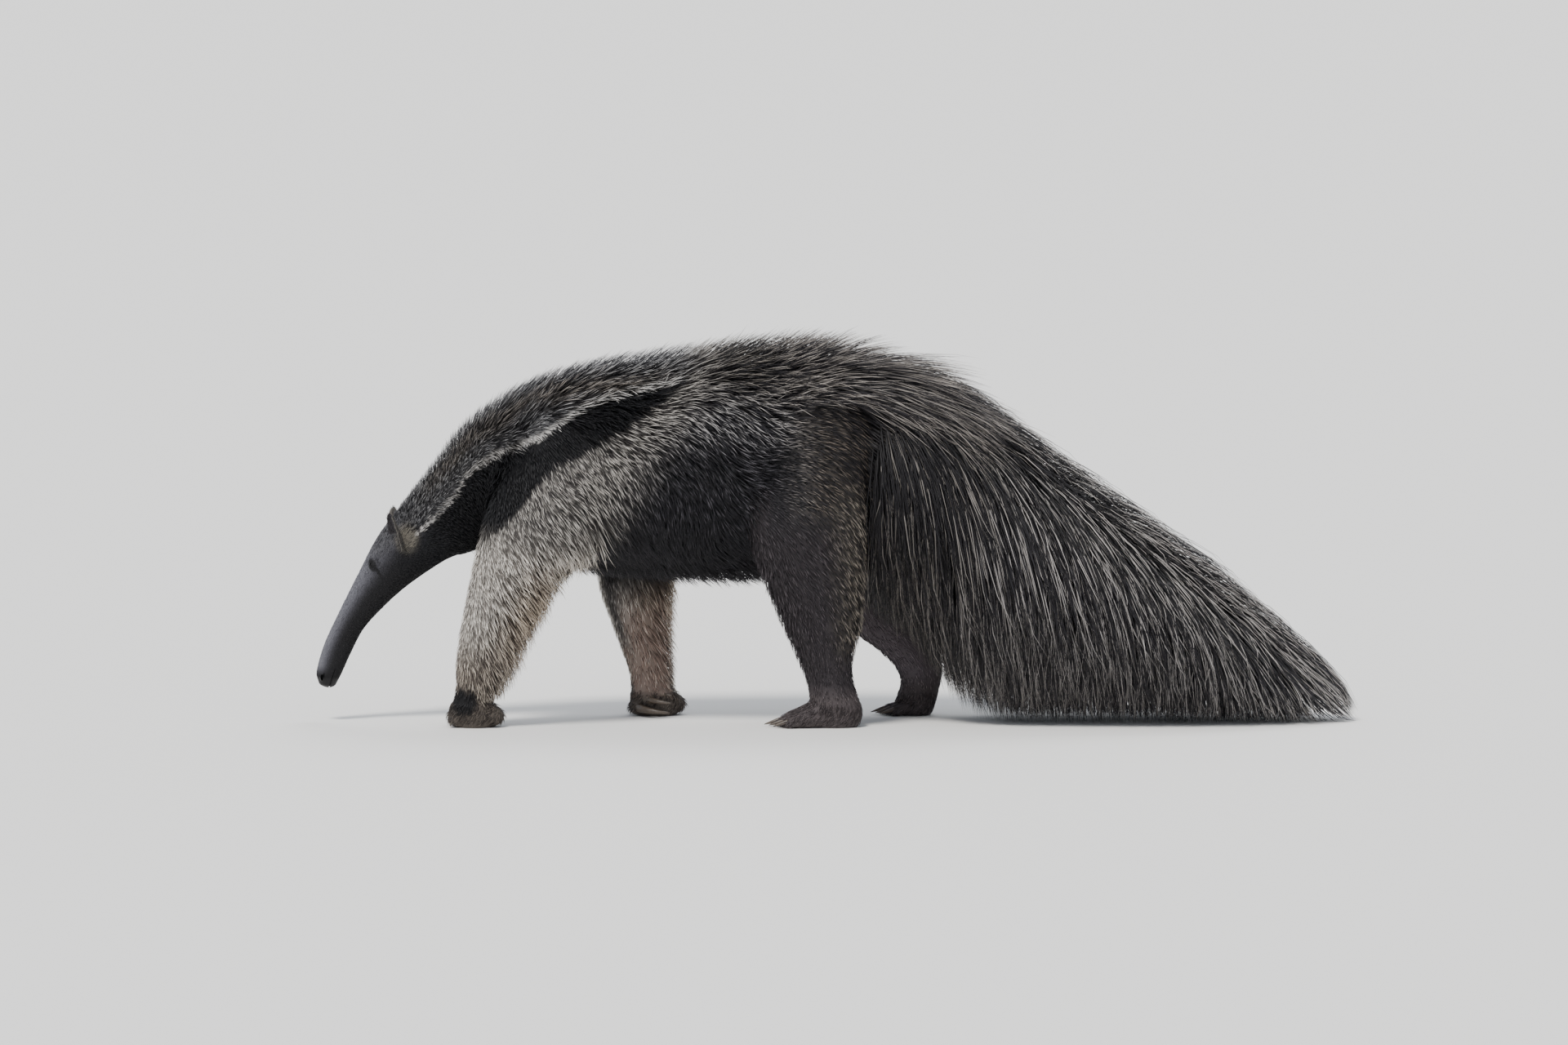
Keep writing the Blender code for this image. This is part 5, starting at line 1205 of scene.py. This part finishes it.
def growZone(name, seed):
    plan, dice = zones[name], np.random.default_rng(seed)
    chosen = np.flatnonzero(triangleZone == zoneNames.index(name))
    want = triangleArea[chosen] / plan["pitch"] ** 2
    owner = np.repeat(chosen, np.floor(want + dice.uniform(0, 1, len(want))).astype(int))
    corners = triangles[owner]
    mix = dice.dirichlet((1.0, 1.0, 1.0), len(owner))
    root = np.einsum("nk,nkd->nd", mix, skinPoints[corners])
    out = unit(np.einsum("nk,nkd->nd", mix, skinNormals[corners]))
    first = corners[:, 0]
    region, t, angle = skinRegion[first], skinPlace[first].copy(), skinAngle[first].copy()
    count = len(root)
    depth, keep = np.zeros(count), np.ones(count)
    rear = smooth(t, trunk.place("withers") - 0.09, trunk.place("withers")) * (name == "neckHair")
    for index in np.unique(region):
        here, label = region == index, regionNames[index]
        t[here], angle[here] = settled(label, root[here], t[here])
        coat = coatOf[label].points(t[here], angle[here])
        depth[here] = np.linalg.norm(coat - skinOf[label].points(t[here], angle[here]), axis=1)
        keep[here] = thinness(index, t[here], angle[here], root[here])
    lie = lieAt(root, out)
    if name == "earFur":
        side = np.sign(root[:, 1])
        rise = np.where(side[:, None] < 0, earFrame(-1)[1], earFrame(1)[1])
        lie = unit(rise - out * np.sum(rise * out, axis=1)[:, None])
        depth[:] = 0.0030
    stray = np.radians(dice.normal(0, plan["stray"], count))[:, None]
    lie = lie * np.cos(stray) + np.cross(out, lie) * np.sin(stray)
    rump = smooth(root[:, 0], 0.02, 0.14) * smooth(root[:, 2], 0.42, 0.54)
    elbow = np.exp(-(((root[:, 0] + 0.305) / 0.045) ** 2) - ((root[:, 2] - 0.345) / 0.05) ** 2)
    grown = 1 + 1.1 * rump + 0.7 * rear + 1.7 * elbow
    length = (plan["base"] + plan["perDepth"] * depth) * grown
    feet = smooth(root[:, 2], 0.10, 0.04) if name.endswith("legHair") else 0.0
    length = length * (1 - 0.30 * feet) * dice.uniform(0.75, 1.15, count)
    low, high = plan["height"]
    most = dice.uniform(low, low + (high - low) * 0.72, count)
    height = depth * np.where(dice.uniform(0, 1, count) < 0.18, dice.uniform(low, high, count), most)
    height += plan.get("rise", 0.0) * dice.uniform(0, 1, count)
    height = np.minimum(height, length * 0.85)
    lift = np.arcsin(height / length)
    free = root + lie * (length * np.cos(lift))[:, None]
    tip, tipOut = free.copy(), out.copy()
    for k in range(count):
        hit, normal, _, gap = skinSurface.find_nearest(free[k])
        hit, normal = np.array(hit), np.array(normal)
        inside = np.dot(free[k] - hit, normal) < 0
        follow = 1.0 if inside else 0.75 * float(smooth(gap, length[k] * 0.55, length[k] * 0.2))
        tip[k] += (hit - free[k]) * follow
        tipOut[k] += normal * (1.5 if inside else follow)
    tipOut = unit(tipOut)
    tip += tipOut * height[:, None]
    if plan.get("clump"):
        tip = clumped(root, tip, *plan["clump"], dice)
    shown = root + (tip - root) * 0.7
    shown[:, ::2] += dice.normal(0, 0.0028 if name != "faceFur" else 0.0012, (count, 2))
    dark, light, share = np.zeros((count, 3)), np.zeros((count, 3)), np.zeros(count)
    for index in np.unique(region):
        here = region == index
        dark[here], light[here], share[here] = coatTone(
            regionNames[index], t[here], angle[here], shown[here], out[here])
    if name == "earFur":
        dark, light, share = earTone(root, out)
    pale = dice.uniform(0, 1, count) < share
    shade = dice.normal(*plan.get("shade", (1.0, 0.16)), count).clip(0.55, 1.5)[:, None]
    kept = dice.uniform(0, 1, count) < keep
    spanT = max(np.ptp(t), 1e-6)
    around = (angle - 180 * (name == "crestHair") - 90) % 360 if name == "crestHair" else angle
    spanA = max(np.ptp(around), 1e-6)
    spot = np.stack([(t - t.min()) / spanT, (around - around.min()) / spanA], axis=1)
    if name == "footFur":
        spot = (root[:, :2] - root[:, :2].min(axis=0)) / np.ptp(root[:, :2], axis=0)
    if name == "earFur":  # one ear beside the other
        up = (root[:, 2] - root[:, 2].min()) / np.ptp(root[:, 2])
        spot = np.stack([up, (root[:, 1] > 0) * 0.5 + np.abs(root[:, 1]) * 6 % 0.5], axis=1)
    width = plan["width"] * dice.uniform(0.75, 1.25, count)
    sway = np.cross(out, lie) * (length * dice.normal(0, 0.05, count))[:, None]
    return {
        "sway": sway[kept], "root": (root - out * strandForm["sink"])[kept], "tip": tip[kept],
        "rootOut": out[kept], "tipOut": tipOut[kept], "arch": 0.07, "width": width[kept],
        "rings": plan["rings"], "taper": plan.get("taper", 2.2), "map": 0.01 + 0.98 * spot[kept],
        "colour": strandColour((dark, light), shade, pale, plan["band"], kept,
                               plan.get("roots", 0.40)),
    }


def earTone(root, out):
    # dark within the ear, grey on its back, a pale rim
    facing = np.where(root[:, 1:2] < 0, earFrame(-1)[3], earFrame(1)[3])
    front = np.sum(out * facing, axis=1)
    inside, rim = smooth(front, 0.2, 0.6)[:, None], np.exp(-((front / 0.24) ** 2))[:, None]
    dark, light, share = (np.asarray(toneValues["earBack"][k]) for k in range(3))
    mixed = []
    for k in range(3):
        back, within, edge = (np.atleast_1d(toneValues[key][k])
                              for key in ("earBack", "earInside", "earRim"))
        value = back + (within - back) * inside
        mixed.append(value + (edge - value) * rim * 0.8)
    return mixed[0], mixed[1], mixed[2][:, 0]


# The tail's hair is longer than the tail is thick, so it goes from places on the tail's sleeve
# to places on the coat's: run is how far back it reaches, turn how far round, at each angle.
tailZones = {
    "tailRidgeHair": {
        "angles": (-72, 72), "pitch": 0.0040, "width": 0.0020, "rings": 4, "arch": 0.19, "proud": 0.010,
        "run": [(0, 0.190), (30, 0.135), (72, 0.068)],
        "turn": [(0, 2.0), (15, 14.0), (36, 34.0), (72, 52.0)], "clump": (5, 0.34),
        "stray": 0.44, "height": (0.66, 0.97), "start": 0.160, "band": (0.25, 0.6),
    },
    "leftTailHair": {
        "angles": (-176, -64), "pitch": 0.0044, "width": 0.0019, "rings": 4, "arch": 0.12, "proud": 0.003,
        "run": [(64, 0.052), (100, 0.022), (140, 0.006), (176, 0.000)],
        "turn": [(64, 54.0), (92, 48.0), (130, 38.0), (160, 18.0), (176, 2.0)],
        "clump": (5, 0.30), "stray": 0.34, "height": (0.80, 1.0), "start": 0.160,
        "band": (0.25, 0.6),
    },
}
tailZones["rightTailHair"] = {**tailZones["leftTailHair"], "angles": (64, 176)}


def growTail(name, seed):
    plan, dice = tailZones[name], np.random.default_rng(seed)
    sleeve, coat = skinOf["tail"], coatOf["tail"]
    low, high = plan["start"], regionSpans["tail"][1]
    first, last = plan["angles"]
    rows = int((high - low) / plan["pitch"])
    found, fine = [], np.linspace(first, last, 73)
    for r in range(rows):
        t = low + (high - low) * (r + 0.5) / rows
        ring = sleeve.points(np.full(73, t), fine)
        run = np.concatenate([[0], np.cumsum(np.linalg.norm(np.diff(ring, axis=0), axis=1))])
        number = max(1, int(run[-1] / plan["pitch"]))
        spots = np.arange(number) + 0.5 * (r % 2) + 0.25 + dice.uniform(-0.38, 0.38, number)
        places = t + dice.uniform(-0.45, 0.45, number) * plan["pitch"]
        found.append(np.column_stack([places, np.interp(spots / number * run[-1], run, fine)]))
    t, angle = np.vstack(found).T
    count = len(t)
    root, out, keep = sleeve.points(t, angle), sleeve.normals(t, angle), np.ones(count, bool)
    for k in range(count):
        hit, _, _, gap = skinSurface.find_nearest(root[k])
        root[k] = hit
        keep[k] = gap < (0.035 if t[k] < 0.29 else 0.006)
    side, turn = np.sign((angle + 180) % 360 - 180), turnOf(angle)
    long = np.minimum(0.32 + 0.95 * dice.uniform(0, 1, count) ** 0.75, 1.03)
    long = np.maximum(long, 0.9 * smooth(t, 0.30, 0.20))
    # beside the haunch the hair hangs straight down, and the brush at the end sweeps back
    sweep = 1 - 0.75 * smooth(t, 0.34, 0.18) * smooth(turn, 35, 75) + 1.2 * smooth(t, 0.74, 0.90)
    run = np.interp(turn, *np.array(plan["run"]).T) * long * sweep
    run += dice.normal(0, 0.010, count) * (1 + 1.2 * smooth(t, 0.34, 0.22))
    swing = np.interp(turn, *np.array(plan["turn"]).T) * long * side
    swing *= 1 + 0.4 * smooth(t, 0.68, 0.86)
    tipT = np.clip(t + run,
                   coat.knots[0] + 0.001, coat.knots[-1] - 0.001)
    radius = np.maximum(coat.rowsAt(t)[:, 5], 0.01)
    sway = dice.normal(0, plan["stray"], count) * np.degrees(0.05 / radius)
    tipAngle = angle + swing + sway * 0.6
    top = coat.points(tipT, tipAngle) + coat.normals(tipT, tipAngle) * plan["proud"]
    height = dice.uniform(*plan["height"], count)[:, None]
    short = (1 - (0.8 + 0.2 * height)) * smooth(top[:, 2:3], 0.02, 0.10)
    tip = root + (top - root) * (1 - short)
    tip += dice.normal(0, 0.006, (count, 3)) * [1, 0.4, 1]
    tip = clumped(root, tip, *plan["clump"], dice)
    dark, light, share = coatTone("tail", t, (angle + 0.5 * swing) % 360, root, out)
    pale = dice.uniform(0, 1, count) < share
    shade = dice.normal(1.0, 0.16, count).clip(0.55, 1.5)[:, None]
    width = plan["width"] * dice.uniform(0.65, 1.25, count)
    reach = tip - root
    sway = np.cross(out, reach) * dice.normal(0, 0.075, count)[:, None]
    spot = np.stack([(t - t.min()) / np.ptp(t), (angle - first) / (last - first)], axis=1)
    return {
        "sway": sway[keep],
        "root": (root - out * strandForm["sink"])[keep], "tip": tip[keep], "rootOut": out[keep],
        "tipOut": coat.normals(tipT, tipAngle)[keep], "arch": plan["arch"], "width": width[keep],
        "rings": plan["rings"], "taper": 3.4,
        "map": np.clip(0.01 + 0.98 * spot[keep], 0.003, 0.997),
        "colour": strandColour((dark, light), shade, pale, plan["band"], keep),
    }


print("coat")
coatPieces = [strandMesh(name, [growZone(name, 40 + k)]) for k, name in enumerate(zoneNames)]
coatPieces += [strandMesh(name, [growTail(name, 80 + k)]) for k, name in enumerate(tailZones)]
print("coat", sum(len(piece.data.polygons) for piece in coatPieces), "triangles")


def tintSkin():
    # the coat's markings on the skin below it, with painted shade darkening it under the long coat of the
    # body, legs and tail; alpha says how bare the skin is
    count = len(skinPoints)
    colour, bare = np.zeros((count, 3)), np.zeros(count)
    for index, name in enumerate(regionNames):
        chosen = skinRegion == index
        dark, light, share = coatTone(name, skinPlace[chosen], skinAngle[chosen],
                                      skinPoints[chosen], skinNormals[chosen])
        share = share[:, None] * 0.8
        colour[chosen] = dark * (1 - share) + light * share
        if name.endswith("leg"):
            bare[chosen] = smooth(skinPoints[chosen, 2], 0.014, 0.004)
    ears = onEar != 0
    dark, light, share = earTone(skinPoints[ears], skinNormals[ears])
    colour[ears] = dark * (1 - share[:, None] * 0.8) + light * share[:, None] * 0.8
    # painted shade: the skin behind the poll, on the legs and on the tail darkened to 0.55 under the coat
    shadedUnderCoat = (skinRegion != 0) | (skinPlace > trunk.place("poll"))
    colour *= np.where(shadedUnderCoat, 0.55, 1.0)[:, None]
    bare = np.maximum(bare, (skinRegion == 0) * smooth(skinPlace, 0.014, 0.008))
    for side in (-1, 1):
        centre, along, across, out = eyeFrame(side)
        gap = np.linalg.norm(skinPoints - centre, axis=1)
        bare = np.maximum(bare, 0.5 * smooth(gap, 0.0110, 0.0095))
        # painted shade darkening the skin in and round each nostril's pit
        nostrilShade = smooth(np.linalg.norm(skinPoints - nostrilFrame(side)[0], axis=1), 0.008, 0.005)
        colour *= (1 - 0.6 * nostrilShade)[:, None]
    tint = skin.data.color_attributes.new("coat", "FLOAT_COLOR", "POINT")
    tint.data.foreach_set("color", np.column_stack([colour, bare]).astype(np.float32).ravel())


tintSkin()
skin.data.shade_smooth()


def addNode(tree, kind, settings=None, links=None):
    # a node with its settings (sockets by name, or properties) and links {input: (node, output)}
    node = tree.nodes.new(kind)
    for key, value in (settings or {}).items():
        if key in node.inputs:
            node.inputs[key].default_value = value
        else:
            setattr(node, key, value)
    for key, (source, output) in (links or {}).items():
        tree.links.new(source.outputs[output], node.inputs[key])
    return node


def newMaterial(name, shaderSettings):
    material = bpy.data.materials.new(name)
    material.use_nodes = True
    tree = material.node_tree
    tree.nodes.clear()
    shader = addNode(tree, "ShaderNodeBsdfPrincipled", shaderSettings)
    addNode(tree, "ShaderNodeOutputMaterial", None, {"Surface": (shader, "BSDF")})
    return material, tree, shader


def tinted(tree, spots, scale, detail, low, high):
    # the coat's colour, uneven from place to place
    tint = addNode(tree, "ShaderNodeAttribute", {"attribute_name": "coat"})
    noise = addNode(tree, "ShaderNodeTexNoise", {"Scale": scale, "Detail": detail},
                    {"Vector": (spots, "Position")})
    level = addNode(tree, "ShaderNodeMapRange", {"To Min": low, "To Max": high},
                    {"Value": (noise, "Fac")})
    mixed = addNode(tree, "ShaderNodeVectorMath", {"operation": "SCALE"},
                    {"Vector": (tint, "Color"), "Scale": (level, "Result")})
    return tint, noise, mixed


def hairMaterial(name, roughness):
    # coarse keratin guard hair, IOR 1.55: a soft satin gloss, and patches 20 mm across that are
    # a little lighter or darker, which keeps the coat from looking dyed
    material, tree, shader = newMaterial(name, {"IOR": 1.55, "Specular IOR Level": 0.32})
    spots = addNode(tree, "ShaderNodeNewGeometry")
    _, noise, mixed = tinted(tree, spots, 50.0, 2.0, 0.82, 1.20)
    tree.links.new(mixed.outputs["Vector"], shader.inputs["Base Color"])
    gloss = addNode(tree, "ShaderNodeMapRange",
                    {"To Min": roughness - 0.06, "To Max": roughness + 0.10},
                    {"Value": (noise, "Fac")})
    tree.links.new(gloss.outputs["Result"], shader.inputs["Roughness"])
    # cuticle and split hairs, 0.7 mm apart, drawn coarser than real so that they show
    grain = addNode(tree, "ShaderNodeTexNoise", {"Scale": 1400.0, "Detail": 1.0},
                    {"Vector": (spots, "Position")})
    bump = addNode(tree, "ShaderNodeBump", {"Strength": 0.25, "Distance": 0.0003},
                   {"Height": (grain, "Fac")})
    tree.links.new(bump.outputs["Normal"], shader.inputs["Normal"])
    return material


def hideMaterial():
    # skin under short flat fur: dull, with a grain of hairs 1 mm apart; bare nose, lids and
    # pads are smoother leather with creases 3 mm apart
    material, tree, shader = newMaterial("furredHide", {"IOR": 1.45, "Specular IOR Level": 0.3})
    spots = addNode(tree, "ShaderNodeNewGeometry")
    tint, noise, mixed = tinted(tree, spots, 900.0, 3.0, 0.66, 1.34)
    tree.links.new(mixed.outputs["Vector"], shader.inputs["Base Color"])
    gloss = addNode(tree, "ShaderNodeMapRange", {"To Min": 0.74, "To Max": 0.42},
                    {"Value": (tint, "Alpha")})
    tree.links.new(gloss.outputs["Result"], shader.inputs["Roughness"])
    crease = addNode(tree, "ShaderNodeTexVoronoi", {"Scale": 330.0, "feature": "DISTANCE_TO_EDGE"},
                     {"Vector": (spots, "Position")})
    height = addNode(tree, "ShaderNodeMix", {"data_type": "FLOAT"},
                     {"Factor": (tint, "Alpha"), "A": (noise, "Fac"), "B": (crease, "Distance")})
    bump = addNode(tree, "ShaderNodeBump", {"Strength": 0.4, "Distance": 0.0008},
                   {"Height": (height, "Result")})
    tree.links.new(bump.outputs["Normal"], shader.inputs["Normal"])
    return material


hair = hairMaterial("guardHair", 0.50)
hide = hideMaterial()
skin.data.materials.clear()
skin.data.materials.append(hide)
for piece in coatPieces:
    piece.data.materials.append(hair)


def makeEye(label, side):
    centre, along, across, out = eyeFrame(side)
    eye = ellipsoid(f"{label}Eye", centre, (along, across, out), [eyeShape["radius"]] * 3, 48, 32)
    eye.data.shade_smooth()
    spots = np.array([v.co for v in eye.data.vertices]) - home - centre
    facing = (spots @ out / eyeShape["radius"])[:, None]
    iris, pupil, white = linear("#20120c"), linear("#040304"), linear("#2e211c")
    colour = white + (iris - white) * smooth(facing, 0.58, 0.66)
    colour = colour + (pupil - colour) * smooth(facing, 0.88, 0.93)
    tint = eye.data.color_attributes.new("coat", "FLOAT_COLOR", "POINT")
    tint.data.foreach_set("color", np.column_stack([colour, np.ones(len(colour))]).ravel())
    return eye


# wet eyeball, IOR 1.38, under a clear tear film
eyeMaterial, eyeTree, eyeShader = newMaterial("wetEye", {
    "Roughness": 0.08, "IOR": 1.38, "Coat Weight": 1.0, "Coat Roughness": 0.03})
eyeSpots = addNode(eyeTree, "ShaderNodeNewGeometry")
eyeMixed = tinted(eyeTree, eyeSpots, 1200.0, 2.0, 0.75, 1.25)[2]
eyeTree.links.new(eyeMixed.outputs["Vector"], eyeShader.inputs["Base Color"])


def hornMaterial():
    # claw horn, IOR 1.55, worn smooth: streaks 3 mm wide, a fine scuffed grain
    material, tree, shader = newMaterial("clawHorn", {"IOR": 1.55})
    spots = addNode(tree, "ShaderNodeNewGeometry")
    streaks = addNode(tree, "ShaderNodeTexNoise", {"Scale": 320.0, "Detail": 4.0},
                      {"Vector": (spots, "Position")})
    ramp = addNode(tree, "ShaderNodeValToRGB", None, {"Fac": (streaks, "Fac")})
    ramp.color_ramp.elements[0].color = (*linear("#211c18"), 1)
    ramp.color_ramp.elements[1].color = (*linear("#64574a"), 1)
    tree.links.new(ramp.outputs["Color"], shader.inputs["Base Color"])
    gloss = addNode(tree, "ShaderNodeMapRange", {"To Min": 0.32, "To Max": 0.5},
                    {"Value": (streaks, "Fac")})
    tree.links.new(gloss.outputs["Result"], shader.inputs["Roughness"])
    bump = addNode(tree, "ShaderNodeBump", {"Strength": 0.3, "Distance": 0.0005},
                   {"Height": (streaks, "Fac")})
    tree.links.new(bump.outputs["Normal"], shader.inputs["Normal"])
    return material


horn = hornMaterial()
pieces = [(skin, "body_hair")]
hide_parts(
    "head", "neck", "torso", "tail", "left_ear", "right_ear",
    *(f"{s}_{part}" for s in ("left", "right")
      for part in ("foreleg", "forefoot", "hindleg", "hindfoot")),
)
for label, side in (("left", -1), ("right", 1)):
    eye = makeEye(label, side)
    eye.data.materials.append(eyeMaterial)
    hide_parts(f"{label}_eye")
    pieces.append((eye, "eye"))
for name in legStations:
    label, leg = ("left", name[4:]) if name.startswith("left") else ("right", name[5:])
    for k, (_, _, _, path, radius) in enumerate(digitPlan(name)):
        last = len(path) - 1
        radii = [radius * (1 - 0.86 * (i / last) ** 1.4) for i in range(last + 1)]
        claw = tube(f"{label}{leg[:-3]}claw{k + 1}", path, radii, 16)
        claw.data.shade_smooth()
        claw.data.materials.append(horn)
        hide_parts(f"{label}_{leg[:-3].lower()}claw_{k + 1}")
        pieces.append((claw, "claw"))
for piece in coatPieces:
    pieces.append((piece, "tail_hair" if "ail" in piece.name else "body_hair"))
for piece, slot in pieces:
    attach(piece, "root")


studio = {"lens": 200.4, "distance": 15.5, "rise": 5.0, "aim": (0.0, 0.0, 0.3538),
          "floor": "#e9e7e3", "floorHalf": 200.0}
# the key is high, ahead of the animal and on the camera's side
lamps = {
    "keyLight": {"azimuth": -32, "height": 58, "strength": 3.6, "spread": 16,
                 "colour": (1.0, 0.975, 0.94)},
    "rimLight": {"azimuth": 150, "height": 55, "strength": 0.9, "spread": 30,
                 "colour": (0.96, 0.98, 1.0)},
}
half = studio["floorHalf"]
floorMesh = bpy.data.meshes.new("floor")
floorMesh.from_pydata([(-half, -half, 0), (half, -half, 0), (half, half, 0), (-half, half, 0)],
                      [], [(0, 1, 2, 3)])
floor = bpy.data.objects.new("floor", floorMesh)
bpy.context.scene.collection.objects.link(floor)
# matt painted floor
floorMaterial, floorTree, floorShader = newMaterial("plasterFloor", {"Roughness": 0.9})
floorShader.inputs["Base Color"].default_value = (*linear(studio["floor"]), 1)
floorMesh.materials.append(floorMaterial)

world = bpy.data.worlds.new("studio")
bpy.context.scene.world = world
world.use_nodes = True
world.node_tree.nodes["Background"].inputs["Color"].default_value = (0.84, 0.90, 1.0, 1)
world.node_tree.nodes["Background"].inputs["Strength"].default_value = 0.85


def away(azimuth, height):
    turn, rise = math.radians(azimuth), math.radians(height)
    return Vector((math.sin(turn) * math.cos(rise), -math.cos(turn) * math.cos(rise),
                   math.sin(rise)))


for name, plan in lamps.items():
    light = bpy.data.lights.new(name, "SUN")
    light.energy, light.color = plan["strength"], plan["colour"]
    light.angle = math.radians(plan["spread"])
    lamp = bpy.data.objects.new(name, light)
    lamp.rotation_euler = (-away(plan["azimuth"], plan["height"])).to_track_quat("-Z", "Y").to_euler()
    bpy.context.scene.collection.objects.link(lamp)

camera = bpy.data.cameras.new("camera")
camera.lens, camera.sensor_width, camera.clip_end = studio["lens"], 36.0, 500.0
stand = bpy.data.objects.new("camera", camera)
back = away(0, studio["rise"])
stand.location = Vector(studio["aim"]) + Vector(home) + back * studio["distance"]
stand.rotation_euler = (-back).to_track_quat("-Z", "Y").to_euler()
bpy.context.scene.collection.objects.link(stand)
bpy.context.scene.camera = stand
